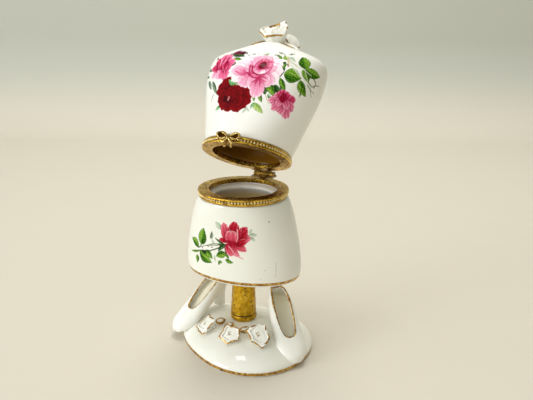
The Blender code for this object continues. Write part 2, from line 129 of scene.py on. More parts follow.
def ripple(points: Array, length: float, seed: int, waves: int = 9) -> Array:
    """Soft even noise from -1 to 1: a sum of sine waves in random directions.

    Args:
        points: Coordinates in the last axis.
        length: Typical wavelength, in the coordinates' unit.
        seed: Chooses the directions and phases.
        waves: How many sine waves are added.

    Returns:
        One value for each point.
    """
    dice = np.random.default_rng(seed)
    total = np.zeros(points.shape[:-1])
    for _ in range(waves):
        way = dice.normal(size=points.shape[-1])
        way *= TAU / length * dice.uniform(0.6, 1.6) / np.linalg.norm(way)
        total += np.sin(points @ way + dice.uniform(0, TAU))
    return total / math.sqrt(waves * 2)


def angles(count: int) -> Array:
    """Even angles once round, from 0."""
    return np.arange(count) / count * TAU


def signed_power(values: Array, power: float) -> Array:
    """The power of each value's size, with the value's sign."""
    return np.sign(values) * np.abs(values) ** power


def distance_down(points: Array) -> Array:
    """Distance gone along each column of a grid, from its first row."""
    return np.cumsum(np.linalg.norm(np.diff(points, axis=0, prepend=points[:1]), axis=2), 0)


def opened(points: Array) -> Array:
    """Turns closed-lid points about the hinge, front upwards, to where the lid stands open.

    Args:
        points: Points in the last axis.

    Returns:
        The turned points.
    """
    c, s = math.cos(OPEN_ANGLE), math.sin(OPEN_ANGLE)
    y, z = points[..., 1] - HINGE_Y, points[..., 2] - HINGE_Z
    return np.stack([points[..., 0], HINGE_Y + y * c + z * s, HINGE_Z - y * s + z * c], -1)


# ---------------------------------------------------------------- skins and pieces


@dataclass
class Skin:
    """A grid of points whose columns run round a closed loop.

    Attributes:
        points: Millimetres, shaped rows by columns by 3.
        marks: Named values at the points, shaped rows by columns or rows by columns by 3 for colours.
        looped: Whether the last row joins the first. If not, both ends are closed by fans.
    """

    points: Array
    marks: dict[str, Array] = field(default_factory=dict)
    looped: bool = False

    def vertices(self) -> Array:
        """The grid's points, then the middles of its two end loops if the ends are closed by fans."""
        flat = self.points.reshape(-1, 3)
        return flat if self.looped else np.vstack([flat, self.points[0].mean(0), self.points[-1].mean(0)])

    def values(self, name: str, width: int) -> Array:
        """One named mark for each vertex, zero where the skin has none.

        Args:
            name: The mark.
            width: How many numbers it has at a point.

        Returns:
            One row for each vertex.
        """
        rows, columns = self.points.shape[:2]
        flat = np.zeros((rows, columns, width))
        if name in self.marks:
            flat[...] = self.marks[name].reshape(rows, columns, width)
        ends = [] if self.looped else [flat[0].mean(0), flat[-1].mean(0)]
        return np.vstack([flat.reshape(-1, width), *ends])

    def faces(self) -> list[list[int]]:
        """Quads between neighbouring rows and triangles over the ends, all pointing outwards.

        Returns:
            The corners of each face.
        """
        rows, columns = self.points.shape[:2]
        index = np.arange(rows * columns).reshape(rows, columns)
        lower = index if self.looped else index[:-1]
        upper = np.roll(index, -1, 0) if self.looped else index[1:]
        quads = np.stack([lower, np.roll(lower, -1, 1), np.roll(upper, -1, 1), upper], -1).reshape(-1, 4)
        made = [quads]
        if not self.looped:
            for row, middle, turn in ((index[0], rows * columns, -1), (index[-1], rows * columns + 1, 1)):
                fan = np.stack([row, np.roll(row, -1), np.full(columns, middle)], -1)
                made.append(fan[:, ::turn])
        corners = self.vertices()
        volume = sum(
            np.einsum("ij,ij->i", corners[f[:, 0]], np.cross(corners[f[:, a]], corners[f[:, a + 1]])).sum()
            for f in made
            for a in range(1, f.shape[1] - 1)
        )
        return [face for f in made for face in (f if volume > 0 else f[:, ::-1]).tolist()]


MARK_WIDTHS = {"paint": 3, "gilt": 1, "recess": 1, "shade": 1}


def make_piece(
    name: str,
    skins: Sequence[Skin],
    body: Body,
    material: bpy.types.Material,
    stands_for: Sequence[str] = (),
    crease: float = 60.0,
) -> None:
    """Makes one object from closed skins, parents it to its body's empty and hides the CAD nodes that it
    stands for.

    Args:
        name: The piece's name.
        skins: Skins with the lid closed.
        body: What the piece rides on. Lid pieces are turned open.
        material: What it looks like.
        stands_for: CAD nodes that it replaces.
        crease: Edges sharper than this many degrees stay sharp.
    """
    vertices, faces, start = [], [], 0
    for skin in skins:
        corners = skin.vertices()
        faces += [[corner + start for corner in face] for face in skin.faces()]
        vertices.append(corners)
        start += len(corners)
    placed = np.vstack(vertices)
    if body is Body.LID:
        placed = opened(placed)
    mesh = bpy.data.meshes.new(name)
    mesh.from_pydata(placed * MM, [], faces)
    for mark in {key for skin in skins for key in skin.marks}:
        width = MARK_WIDTHS[mark]
        values = np.vstack([skin.values(mark, width) for skin in skins])
        if width == 3:
            layer = mesh.attributes.new(mark, "FLOAT_COLOR", "POINT")
            layer.data.foreach_set("color", np.c_[values, np.ones(len(values))].ravel())
        else:
            layer = mesh.attributes.new(mark, "FLOAT", "POINT")
            layer.data.foreach_set("value", values.ravel())
    mesh.shade_smooth()
    mesh.set_sharp_from_angle(angle=math.radians(crease))
    mesh.materials.append(material)
    piece = bpy.data.objects.new(name, mesh)
    bpy.context.scene.collection.objects.link(piece)
    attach(piece, body.value)
    if stands_for:
        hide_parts(*stands_for)
    LOG.info("%s: %d faces on the %s", name, len(faces), body.value)


def turned(profile: Array, columns: int, looped: bool = True, wobble: Callable | None = None) -> Skin:
    """A profile of (radius, height) rows carried round the Z axis.

    Args:
        profile: Radius and height of each row.
        columns: Points round the axis.
        looped: Whether the profile is a closed loop that stays off the axis.
        wobble: Gives a change of radius from the angle and the row's height.

    Returns:
        The turned skin.
    """
    angle = angles(columns)
    radius = np.repeat(profile[:, :1], columns, 1)
    height = np.repeat(profile[:, 1:2], columns, 1)
    if wobble:
        radius = radius + wobble(angle[None, :], height)
    return Skin(np.stack([radius * np.sin(angle), -radius * np.cos(angle), height], -1), looped=looped)


def swept(
    path: Array,
    across: Sequence[float],
    half_across: Array | float,
    half_along: Array | float,
    columns: int,
    looped: bool = False,
    power: float = 2.0,
) -> Skin:
    """A superellipse section carried along a path.

    Args:
        path: Middle of each section.
        across: Direction of the section's first half size.
        half_across: Half size along that direction.
        half_along: Half size square to both that direction and the path.
        columns: Points round each section.
        looped: Whether the path closes on itself.
        power: 2 gives an ellipse, more gives a squarer bar.

    Returns:
        The swept skin.
    """
    if looped:
        ahead = np.roll(path, -1, 0) - np.roll(path, 1, 0)
    else:
        ahead = np.gradient(path, axis=0)
    ahead /= np.linalg.norm(ahead, axis=1, keepdims=True)
    side = np.broadcast_to(across, path.shape)
    side = side - ahead * np.sum(side * ahead, 1, keepdims=True)
    side = side / np.linalg.norm(side, axis=1, keepdims=True)
    other = np.cross(ahead, side)
    angle = angles(columns)
    c, s = (signed_power(w, 2 / power)[None, :, None] for w in (np.cos(angle), np.sin(angle)))
    wide = np.broadcast_to(half_across, (len(path),))[:, None, None]
    thick = np.broadcast_to(half_along, (len(path),))[:, None, None]
    points = path[:, None] + side[:, None] * wide * c + other[:, None] * thick * s
    return Skin(points, looped=looped)


def posed(skin: Skin, place: Sequence[float], outward: Sequence[float]) -> Skin:
    """Stands a skin's local +Z along outward and moves it to a place."""
    turn = Vector(outward).to_track_quat("Z", "Y").to_matrix()
    return Skin(skin.points @ np.array(turn).T + np.asarray(place, float), skin.marks, skin.looped)


# ---------------------------------------------------------------- finishes


class Socket:
    """A node's output that takes part in arithmetic, which adds Math nodes."""

    def __init__(self, shader: "Shader", output: bpy.types.NodeSocket) -> None:
        """Keeps the shader that new nodes go into and the output."""
        self.shader = shader
        self.output = output

    def __add__(self, other: "Socket | float") -> "Socket":
        """Sum."""
        return self.shader.maths("ADD", self, other)

    def __sub__(self, other: "Socket | float") -> "Socket":
        """Difference."""
        return self.shader.maths("SUBTRACT", self, other)

    def __mul__(self, other: "Socket | float") -> "Socket":
        """Product."""
        return self.shader.maths("MULTIPLY", self, other)

    def __rsub__(self, other: float) -> "Socket":
        """Difference from a number."""
        return self.shader.maths("SUBTRACT", other, self)

    __radd__ = __add__
    __rmul__ = __mul__


def set_stops(ramp: bpy.types.ColorRamp, stops: Sequence[tuple[float, Sequence[float]]]) -> None:
    """Gives a colour ramp its stops, each a position and a linear colour.

    Args:
        ramp: The ramp.
        stops: Its stops.
    """
    while len(ramp.elements) < len(stops):
        ramp.elements.new(1.0)
    for element, (position, colour) in zip(ramp.elements, stops):
        element.position = position
        element.color = (*colour, 1.0)


class Shader:
    """One material and the means to build its node tree."""

    def __init__(self, name: str, **constants: float) -> None:
        """Starts a material whose shader sockets hold the given constants, with underscores for spaces.

        Args:
            name: The material's name.
            **constants: The sockets' values.
        """
        self.material = bpy.data.materials.new(name)
        self.material.use_nodes = True
        self.tree = self.material.node_tree
        self.surface = self.tree.nodes["Principled BSDF"]
        self.place = Socket(self, self.node("ShaderNodeTexCoord").outputs["Object"])
        for socket, value in constants.items():
            self.surface.inputs[socket.replace("_", " ").title().replace("Ior", "IOR")].default_value = value

    def node(
        self, kind: str, settings: dict[str, Any] | None = None, inputs: dict[Any, Any] | None = None
    ) -> bpy.types.Node:
        """Adds a node.

        Args:
            kind: The node's type.
            settings: Its properties. A ramp's stops are given as "stops".
            inputs: A value or a Socket for each input, by name or number.

        Returns:
            The new node.
        """
        made = self.tree.nodes.new(kind)
        for key, value in (settings or {}).items():
            if key == "stops":
                set_stops(made.color_ramp, value)
            else:
                setattr(made, key, value)
        for key, value in (inputs or {}).items():
            self.feed(made.inputs[key], value)
        return made

    def feed(self, target: bpy.types.NodeSocket, value: Any) -> None:
        """Links a Socket to an input, or sets the input's value.

        Args:
            target: The input.
            value: What it gets.
        """
        if isinstance(value, Socket):
            self.tree.links.new(value.output, target)
        else:
            target.default_value = value

    def maths(self, operation: str, *values: Socket | float) -> Socket:
        """A Math node held to no range."""
        made = self.node("ShaderNodeMath", {"operation": operation}, dict(enumerate(values)))
        return Socket(self, made.outputs[0])

    def step(self, value: Socket, low: float, high: float) -> Socket:
        """0 below low, 1 above high, and smooth between.

        Args:
            value: What is compared.
            low: Where the step starts.
            high: Where it ends.

        Returns:
            The step, 0 to 1.
        """
        inputs = {"Value": value, "From Min": low, "From Max": high}
        made = self.node("ShaderNodeMapRange", {"interpolation_type": "SMOOTHSTEP"}, inputs)
        return Socket(self, made.outputs["Result"])

    def noise(self, scale: float, detail: float = 3.0, roughness: float = 0.55) -> Socket:
        """Fractal noise on the object's own coordinates, scale being cycles per metre."""
        inputs = {"Vector": self.place, "Scale": scale, "Detail": detail, "Roughness": roughness}
        return Socket(self, self.node("ShaderNodeTexNoise", None, inputs).outputs["Fac"])

    def cells(self, scale: float) -> Socket:
        """Distance to the nearest of many scattered points."""
        made = self.node("ShaderNodeTexVoronoi", None, {"Vector": self.place, "Scale": scale})
        return Socket(self, made.outputs["Distance"])

    def mark(self, name: str, output: str = "Fac") -> Socket:
        """A value or colour stored on the mesh's points."""
        return Socket(self, self.node("ShaderNodeAttribute", {"attribute_name": name}).outputs[output])

    def ramp(self, factor: Socket, *stops: tuple[float, Sequence[float]]) -> Socket:
        """Colours, as 0 to 255 display values, along a factor.

        Args:
            factor: Where on the ramp.
            *stops: Position and display colour of each stop.

        Returns:
            The colour.
        """
        listed = [(position, tuple(linear(colour))) for position, colour in stops]
        made = self.node("ShaderNodeValToRGB", {"stops": listed}, {"Fac": factor})
        return Socket(self, made.outputs["Color"])

    def mix(self, factor: Socket | float, first: Any, second: Any, blend: str = "MIX") -> Socket:
        """Mixes two colours.

        Args:
            factor: Share of the second.
            first: One colour.
            second: The other.
            blend: How they blend.

        Returns:
            The mixed colour.
        """
        settings = {"data_type": "RGBA", "blend_type": blend}
        made = self.node("ShaderNodeMix", settings, {0: factor, 6: first, 7: second})
        return Socket(self, made.outputs[2])

    def colour(self, values: Sequence[float]) -> tuple[float, ...]:
        """A socket's colour from 0 to 255 display values."""
        return (*linear(values), 1.0)

    def bump(self, height: Socket, distance: float, strength: float) -> None:
        """Feeds the Normal from a height, distance in metres.

        Args:
            height: The height, 0 to 1.
            distance: What a height of 1 stands for.
            strength: How strongly it tells.
        """
        inputs = {"Height": height, "Distance": distance, "Strength": strength}
        made = self.node("ShaderNodeBump", None, inputs)
        self.feed(self.surface.inputs["Normal"], Socket(self, made.outputs["Normal"]))

    def close(self, **links: Any) -> bpy.types.Material:
        """Feeds the named shader sockets, with underscores for spaces, and returns the material.

        Args:
            **links: A value or Socket for each socket.

        Returns:
            The finished material.
        """
        for socket, value in links.items():
            self.feed(self.surface.inputs[socket.replace("_", " ").title()], value)
        return self.material


@dataclass(frozen=True)
class GlazeFinish:
    """Glossy fired glaze, gold where the mesh is marked gilt, painted where it carries colours, and darkened
    by painted shade where it carries a shade mark.
    """

    name: str
    ground: Colour = (243, 243, 236)
    painted: bool = False
    roughness: float = 0.1

    def material(self) -> bpy.types.Material:
        """Builds the material.

        Returns:
            The material.
        """
        shader = Shader(self.name, specular_ior_level=0.0, coat_roughness=0.03)
        base = shader.mark("paint", "Color") if self.painted else shader.colour(self.ground)
        # Painted shade: the shade mark, with faint random pooling of the glaze, multiplies the colour towards
        # a warm grey.
        pooling_and_painted_shade = shader.step(shader.noise(60.0, 2.0), 0.35, 0.75) * 0.07 + shader.mark("shade") * 0.8
        tinted = shader.mix(pooling_and_painted_shade, base, shader.colour((214, 200, 158)), "MULTIPLY")
        value = Socket(shader, shader.node("ShaderNodeRGBToBW", None, {"Color": tinted}).outputs["Val"])
        pinholes = shader.step(shader.cells(260.0), 0.035, 0.02) * shader.step(shader.noise(45.0), 0.56, 0.6)
        speckled = shader.mix(pinholes * 0.7, tinted, shader.colour((96, 80, 60)))
        gilt = shader.step(shader.mark("gilt") + (shader.noise(900.0, 4.0) - 0.5) * 0.5, 0.42, 0.58)
        gold = shader.ramp(
            shader.noise(700.0, 5.0), (0.3, (84, 52, 8)), (0.48, (176, 126, 36)), (0.7, (234, 198, 104))
        )
        orange_peel = shader.noise(420.0, 2.0)
        shader.bump(orange_peel, 0.00004, 0.35)
        return shader.close(
            base_color=shader.mix(gilt, speckled, gold),
            metallic=gilt * 0.75,
            roughness=gilt * 0.22 + self.roughness,
            coat_weight=shader.step(value, 0.02, 0.6) * 0.75 + 0.2,
        )


@dataclass(frozen=True)
class BrassFinish:
    """Cast brass, brown in its hollows and bright on what the fingers rub."""

    name: str
    bright: Colour = (250, 206, 84)
    dull: Colour = (138, 94, 12)
    brown: Colour = (62, 38, 6)
    grain: float = 1500.0
    satin: float = 0.12

    def material(self) -> bpy.types.Material:
        """Builds the material.

        Returns:
            The material.
        """
        shader = Shader(self.name, metallic=1.0)
        fine = shader.noise(self.grain, 4.0, 0.6)
        broad = shader.noise(240.0, 3.0)
        recess = shader.step(shader.mark("recess") + (fine - 0.5) * 0.7, 0.25, 0.95)
        # Rubbed spots take the bright colour. In the beads' finish both colours are pale, as painted sheen.
        wear_and_sheen = shader.step(broad * 0.35 + fine * 0.75, 0.42, 0.66)
        worn = shader.mix(wear_and_sheen, shader.colour(self.dull), shader.colour(self.bright))
        shader.bump(fine, 0.0002, 0.8)
        return shader.close(
            base_color=shader.mix(recess, worn, shader.colour(self.brown)),
            roughness=fine * 0.16 + recess * 0.3 + self.satin,
        )


@dataclass(frozen=True)
class GiltFinish:
    """Gold fired thick over rough glaze, with dark pits and brown rubbed streaks."""

    name: str

    def material(self) -> bpy.types.Material:
        """Builds the material.

        Returns:
            The material.
        """
        shader = Shader(self.name)
        fine = shader.noise(1300.0, 5.0, 0.65)
        streaks = shader.noise(320.0, 4.0, 0.6)
        holes = shader.step(shader.cells(420.0), 0.26, 0.14) * shader.step(fine, 0.42, 0.5)
        pits = shader.step(shader.mark("recess") + holes + (fine - 0.5) * 0.4, 0.35, 0.6)
        gold = shader.ramp(
            streaks * 0.6 + fine * 0.4,
            (0.32, (128, 92, 10)), (0.44, (184, 138, 20)), (0.56, (216, 172, 40)), (0.7, (242, 212, 100)),
        )
        shader.bump(fine - pits * 0.8, 0.00018, 0.7)
        return shader.close(
            base_color=shader.mix(pits, gold, shader.colour((34, 20, 8))),
            metallic=0.86 - pits * 0.7,
            roughness=fine * 0.3 + 0.2,
        )


# ---------------------------------------------------------------- china painting


@dataclass(frozen=True)
class Tones:
    """Display colours of one petal or leaf: at its base, over its middle and along its rim.

    Attributes:
        deep: Colour at the base.
        body: Colour over the middle.
        light: Colour along the rim.
        streak: How strong the brush's streaks are.
        rim: How strong the turned edge is.
    """

    deep: Colour
    body: Colour
    light: Colour
    streak: float = 0.08
    rim: float = 0.5


PALE_PINK = Tones((196, 56, 108), (242, 164, 196), (255, 242, 248), 0.06, 0.7)
BLUSH_WHITE = Tones((236, 138, 176), (253, 230, 239), (255, 252, 253), 0.05, 0.35)
ROSE_PINK = Tones((166, 28, 76), (224, 98, 142), (248, 186, 208), 0.09, 0.6)
DUSTY_PINK = Tones((164, 26, 72), (216, 104, 140), (246, 196, 210), 0.14, 0.7)
CRIMSON_PINK = Tones((140, 6, 44), (198, 48, 92), (234, 150, 178), 0.14, 0.6)
DARK_RED = Tones((58, 0, 4), (118, 0, 8), (150, 8, 20), 0.05, 0.3)
LEAF_GREEN = Tones((10, 48, 6), (78, 134, 22), (158, 190, 78))
DARK_GREEN = Tones((6, 26, 12), (30, 74, 28), (100, 140, 74))
YELLOW_GREEN = Tones((96, 136, 50), (158, 190, 92), (214, 228, 158))
MINT_GREEN = Tones((46, 110, 56), (112, 172, 104), (206, 230, 190))
GREY_GREEN = Tones((44, 66, 50), (92, 114, 90), (168, 184, 160))
FAINT_GREEN = Tones((146, 166, 142), (180, 198, 172), (222, 228, 214))
SKIRT_RED = Tones((120, 0, 20), (176, 14, 40), (224, 120, 138), 0.16, 0.6)
SKIRT_PINK = Tones((158, 4, 34), (208, 78, 100), (238, 164, 174), 0.12, 0.5)
PURPLE = Tones((40, 4, 24), (98, 18, 52), (150, 60, 90))


GRAIN_LENGTH = 1.3
GRAIN_SEED = 5


class Canvas:
    """A glazed surface unrolled in millimetres, and the colours laid on it."""

    def __init__(self, across: Array, up: Array, ground: Colour) -> None:
        """Starts with bare glaze.

        Args:
            across: Distance along the surface from its front line, for each point.
            up: Distance along the surface from its lower edge, for each point.
            ground: Display colour of the bare glaze.
        """
        self.shape = across.shape
        self.across, self.up = across.ravel(), up.ravel()
        self.ink = np.tile(np.array(ground, float), (across.size, 1))
        self.covered = np.zeros(across.size)
        self.grain = ripple(np.stack([self.across, self.up], -1), GRAIN_LENGTH, GRAIN_SEED)

    def within(self, low: Array, high: Array) -> Array:
        """Indices of the points inside a box."""
        inside = (self.across > low[0]) & (self.across < high[0]) & (self.up > low[1]) & (self.up < high[1])
        return np.nonzero(inside)[0]

    def lay(self, where: Array, colours: Array, cover: Array, marks: bool = True) -> None:
        """Blends colours over what is there.

        Args:
            where: Indices of the points.
            colours: One colour, or one for each point.
            cover: How fully each point is covered, 0 to 1.
            marks: Whether this counts as flower for later shadows.
        """
        self.ink[where] += (np.asarray(colours, float) - self.ink[where]) * cover[:, None]
        if marks:
            self.covered[where] = np.maximum(self.covered[where], cover)

    def local(self, base: Array, tip: Array) -> tuple[Array, Array, Array, float]:
        """Points round a stroke, as shares of its length along it and millimetres across it.

        Args:
            base: The stroke's start.
            tip: Its end.

        Returns:
            Indices of the points, shares along, distances across, and the stroke's length.
        """
        middle, reach = (base + tip) / 2, np.linalg.norm(tip - base)
        where = self.within(middle - reach * 0.95 - 2.5, middle + reach * 0.95 + 2.5)
        way = (tip - base) / reach
        x, y = self.across[where] - base[0], self.up[where] - base[1]
        return where, (x * way[0] + y * way[1]) / reach, y * way[0] - x * way[1], reach

    def petal(
        self, base: Sequence[float], tip: Sequence[float], half: float, tones: Tones, seed: int
    ) -> None:
        """Paints a petal.

        Its half width at a share u of its length is half * (1 - (2 u^1.35 - 1)^2)^0.5, ruffled by sine waves.
        The tone goes from deep at the base to light at the rim, with streaks along it and a turned edge.

        Args:
            base: Where it starts.
            tip: Where it ends.
            half: Greatest half width.
            tones: Its colours.
            seed: Changes its ruffles and streaks.
        """
        where, u, v, reach = self.local(np.array(base, float), np.array(tip, float))
        wave = 0.03 * np.sin(4 * v / half + seed * 1.7) + 0.02 * np.sin(9 * v / half + seed)
        u = u / (1 + wave)
        held = np.clip(u, 0.0, 1.0)
        width = half * np.sqrt(np.maximum(1 - (2 * held**1.35 - 1) ** 2, 0)) + 1e-6
        width *= 1 + 0.04 * np.sin(7 * held + seed * 2.3)
        edge = np.where((u > 0) & (u < 1), width - np.abs(v), -1.0)
        edge = np.minimum(edge, (1 - u) * reach)
        shadow = ease((edge + 0.6) / 0.7) * 0.55 * self.covered[where]
        self.lay(where, np.array(tones.deep, float) * 0.85, shadow, False)
        streak = np.sin(v / half * 9 + 2 * np.sin(3.1 * u + seed) + seed)
        across = np.abs(v) / (width + 0.2)
        tone = held**0.8 * 0.72 + 0.3 * across**2 * held + tones.streak * streak + 0.07 * self.grain[where]
        colours = blend_tones(tones, np.clip(tone, 0, 1))
        rim = ease(1 - np.abs(edge - 0.16) / 0.16) * tones.rim * ease((u - 0.3) / 0.4)
        colours += (np.array(tones.light, float) - colours) * rim[:, None]
        self.lay(where, colours, ease(edge / 0.22 + 0.4))

    def leaf(
        self, base: Sequence[float], tip: Sequence[float], half: float, tones: Tones, seed: int
    ) -> None:
        """Paints a leaf.

        Its half width is half * sin(pi * u^0.8)^0.9 with a saw-toothed edge. One side of the rib is darker,
        and side veins slant forward from the rib.

        Args:
            base: Where it starts.
            tip: Where it ends.
            half: Greatest half width.
            tones: Its colours.
            seed: Which side is darker, and the phase of its teeth.
        """
        where, u, v, reach = self.local(np.array(base, float), np.array(tip, float))
        held = np.clip(u, 0.0, 1.0)
        v = v + half * 0.35 * (seed % 3 - 1) * held * (1 - held) * 4
        teeth = 1 + 0.09 * np.abs(np.sin((u * reach * 2.6 + np.abs(v)) * 1.4 + seed))
        width = half * np.sin(np.pi * held**0.8) ** 0.9 * teeth
        edge = np.where((u > 0) & (u < 1), width - np.abs(v), -1.0)
        side = ease(v / half * (1 if seed % 2 else -1) * 2.2 + 0.5)
        veins = 0.5 + 0.5 * np.sin((u * reach - np.abs(v) * 0.9) * TAU / 1.15 + self.grain[where])
        tone = np.clip(0.22 + 0.42 * side + 0.1 * veins + 0.22 * self.grain[where] + 0.14 * u, 0, 1)
        colours = blend_tones(tones, tone)
        rib = ease(1 - np.abs(v) / 0.14) * 0.55 * ease((0.95 - u) * 5)
        colours += (np.array(tones.light, float) - colours) * rib[:, None]
        rim = ease(1 - np.abs(edge - 0.05) / 0.22) * 0.45
        colours += (np.array(tones.deep, float) - colours) * rim[:, None]
        self.lay(where, colours, ease(edge / 0.2 + 0.45))

    def leaves(self, rows: Strokes, seed: int) -> None:
        """Paints leaves, each row a base, tip, half width and tones, and the first with the given seed."""
        for number, row in enumerate(rows):
            self.leaf(*row, seed + number)

    def stem(
        self, route: Sequence[Sequence[float]], width: float, colour: Colour, strength: float = 1.0
    ) -> None:
        """Paints a thin line along a smooth route, thinning to its end.

        Args:
            route: Points that it passes through.
            width: Its width at the start.
            colour: Its colour.
            strength: How fully it covers.
        """
        path = smooth_through(route, 14 * len(route))
        where = self.within(path.min(0) - 1, path.max(0) + 1)
        spots = np.stack([self.across[where], self.up[where]], -1)
        gap = np.full(len(where), 9.0)
        for i in range(len(path) - 1):
            run = path[i + 1] - path[i]
            share = np.clip((spots - path[i]) @ run / (run @ run), 0, 1)
            thin = width * (1 - 0.5 * (i + share) / len(path)) / 2
            gap = np.minimum(gap, np.linalg.norm(spots - path[i] - share[:, None] * run, axis=1) - thin)
        self.lay(where, np.array(colour, float), ease(0.5 - gap / 0.2) * strength)

    def stems(self, rows: Strokes, strength: float = 1.0) -> None:
        """Paints thin lines, each row a route, width and colour."""
        for row in rows:
            self.stem(*row, strength)

    def spot(
        self,
        centre: Sequence[float],
        radius: float,
        colour: Colour,
        strength: float,
        long: float = 1.0,
        turn: float = 0.0,
    ) -> None:
        """Paints a soft oval dab, long times as long as wide and turned by an angle.

        Args:
            centre: Its middle.
            radius: Half its width.
            colour: Its colour.
            strength: How fully it covers.
            long: Its length as a multiple of its width.
            turn: Its angle in radians.
        """
        centre = np.array(centre, float)
        where = self.within(centre - radius * long - 0.5, centre + radius * long + 0.5)
        x, y = self.across[where] - centre[0], self.up[where] - centre[1]
        c, s = math.cos(turn), math.sin(turn)
        off = np.hypot((x * c + y * s) / long, y * c - x * s) / radius
        self.lay(where, np.array(colour, float), ease((1.15 - off) / 0.35) * strength)

    def flower(self, petals: Strokes, tones: Tones, seed: int) -> None:
        """Paints a flower from its list of petals, back to front.

        Args:
            petals: Base, tip, half width and, if the petal has its own, tones.
            tones: Tones of the other petals.
            seed: Starts the petals' variation.
        """
        for number, (base, tip, half, *own) in enumerate(petals):
            self.petal(base, tip, half, own[0] if own else tones, seed + number)

    def colours(self) -> Array:
        """The finished colours in linear light, in the surface's own rows and columns."""
        return linear(np.clip(self.ink, 0, 255)).reshape(*self.shape, 3)


def blend_tones(tones: Tones, share: Array) -> Array:
    """Colours along a tone scale: deep to body up to 0.55, then body to light.

    Args:
        tones: The scale.
        share: Where on it, 0 to 1.

    Returns:
        One colour for each share.
    """
    deep, body, light = (np.array(tone, float) for tone in (tones.deep, tones.body, tones.light))
    low = ease(share / 0.55)[:, None]
    high = ease((share - 0.55) / 0.45)[:, None]
    return deep + (body - deep) * low + (light - body) * high


# ---------------------------------------------------------------- flowers painted on the glaze

SHOULDER_ROSE: Strokes = (
    ((-14.6, 30.0), (-19.6, 26.2), 1.7, PALE_PINK), ((-14.5, 30.2), (-21.2, 31.2), 1.9, CRIMSON_PINK),
    ((-14.0, 31.0), (-19.2, 35.6), 2.3, CRIMSON_PINK), ((-13.6, 31.5), (-16.2, 38.8), 2.2, ROSE_PINK),
    ((-13.0, 31.0), (-13.2, 38.2), 2.0, ROSE_PINK), ((-12.6, 30.5), (-9.6, 34.4), 2.2, ROSE_PINK),
    ((-12.8, 30.0), (-9.2, 27.6), 2.4, ROSE_PINK), ((-13.4, 30.5), (-16.0, 24.9), 2.2, PALE_PINK),
    ((-13.0, 30.5), (-11.3, 24.2), 2.4, ROSE_PINK), ((-13.6, 29.2), (-16.6, 32.6), 1.5, CRIMSON_PINK),
    ((-13.4, 29.0), (-13.6, 34.6), 1.4, ROSE_PINK), ((-12.7, 33.6), (-12.6, 28.4), 1.3, CRIMSON_PINK),
)
DEEP_ROSE: Strokes = (
    ((-7.5, 18.0), (-13.1, 22.0), 3.2), ((-7.5, 18.5), (-9.6, 25.4), 3.2),
    ((-6.0, 17.0), (-12.3, 16.6), 3.0), ((-4.5, 16.0), (-4.0, 21.9), 4.0), ((-3.0, 16.0), (1.4, 20.7), 3.2),
    ((-4.0, 16.0), (3.4, 17.0), 3.2), ((-4.5, 17.0), (1.4, 12.6), 3.2), ((-5.0, 17.0), (-0.9, 10.9), 2.6),
    ((-6.0, 17.0), (-4.9, 10.7), 2.9), ((-6.0, 17.0), (-10.0, 12.2), 3.0),
    ((-6.5, 17.0), (-11.6, 19.2), 2.0), ((-5.5, 14.6), (-2.6, 20.4), 2.6),
    ((-5.8, 15.0), (-0.2, 15.6), 2.4), ((-6.2, 16.5), (-3.2, 12.0), 2.0), ((-6.2, 17.0), (-9.8, 14.2), 1.7),
    ((-6.6, 14.4), (-7.4, 19.2), 1.6), ((-6.4, 14.2), (-4.6, 18.2), 1.3),
)
PALE_ROSE: Strokes = (
    ((3.0, 31.0), (8.8, 37.0), 3.0, BLUSH_WHITE), ((2.0, 31.0), (-3.2, 37.0), 3.3, BLUSH_WHITE),
    ((3.2, 31.0), (2.8, 37.6), 3.6), ((0.5, 29.0), (-6.4, 34.4), 3.4, BLUSH_WHITE),
    ((5.0, 30.0), (11.6, 34.4), 3.0, BLUSH_WHITE), ((5.0, 29.0), (12.9, 29.4), 3.4, BLUSH_WHITE),
    ((5.0, 28.0), (12.2, 24.8), 3.0, BLUSH_WHITE), ((5.0, 28.0), (9.8, 22.7), 2.6),
    ((0.5, 28.0), (-9.8, 29.4), 3.0, BLUSH_WHITE), ((1.0, 28.0), (-7.4, 24.4), 2.7, BLUSH_WHITE),
    ((2.0, 28.0), (-3.0, 21.6), 3.0), ((-1.4, 26.8), (-8.4, 29.4), 1.9), ((3.0, 28.0), (1.4, 21.4), 2.6),
    ((4.2, 27.0), (8.2, 23.6), 2.4), ((4.3, 25.6), (4.8, 17.2), 2.9),
)
PALE_ROSE_HEART: Strokes = (
    ((3.4, 30.0), (4.0, 36.6), 3.2, PALE_PINK), ((3.6, 28.6), (-2.2, 33.0), 2.8, PALE_PINK),
    ((4.4, 28.6), (9.2, 32.6), 2.8, PALE_PINK), ((3.6, 29.0), (0.4, 34.6), 2.0, PALE_PINK),
    ((4.4, 29.0), (7.2, 34.4), 2.0, ROSE_PINK), ((3.8, 30.0), (3.9, 35.4), 2.2, DUSTY_PINK),
)
PALE_ROSE_LIPS: Strokes = (
    ((5.2, 29.8), (7.3, 27.9), 1.2, PALE_PINK), ((2.8, 29.8), (0.5, 28.2), 1.3, PALE_PINK),
    ((3.7, 29.3), (2.8, 27.2), 1.3, PALE_PINK), ((4.5, 29.3), (5.5, 27.4), 1.2, BLUSH_WHITE),
)
SIDE_FLOWER: Strokes = (
    ((15.5, 19.6), (10.3, 16.4), 1.6, DUSTY_PINK), ((15.5, 20.0), (11.7, 18.8), 1.3, DUSTY_PINK),
    ((16.1, 19.0), (20.7, 20.0), 1.8), ((16.1, 18.4), (20.8, 15.8), 2.0, DUSTY_PINK),
    ((15.9, 18.4), (18.9, 11.7), 2.1, DUSTY_PINK), ((15.7, 18.4), (15.5, 12.6), 2.0, DUSTY_PINK),
    ((15.5, 18.4), (12.3, 13.4), 1.8, DUSTY_PINK), ((15.5, 18.4), (14.5, 22.2), 1.9),
    ((15.9, 18.6), (17.7, 21.8), 1.7), ((16.5, 19.6), (17.9, 15.4), 1.5, DUSTY_PINK),
    ((14.9, 19.6), (13.9, 15.6), 1.4, DUSTY_PINK), ((15.6, 17.2), (15.3, 20.8), 1.4),
)
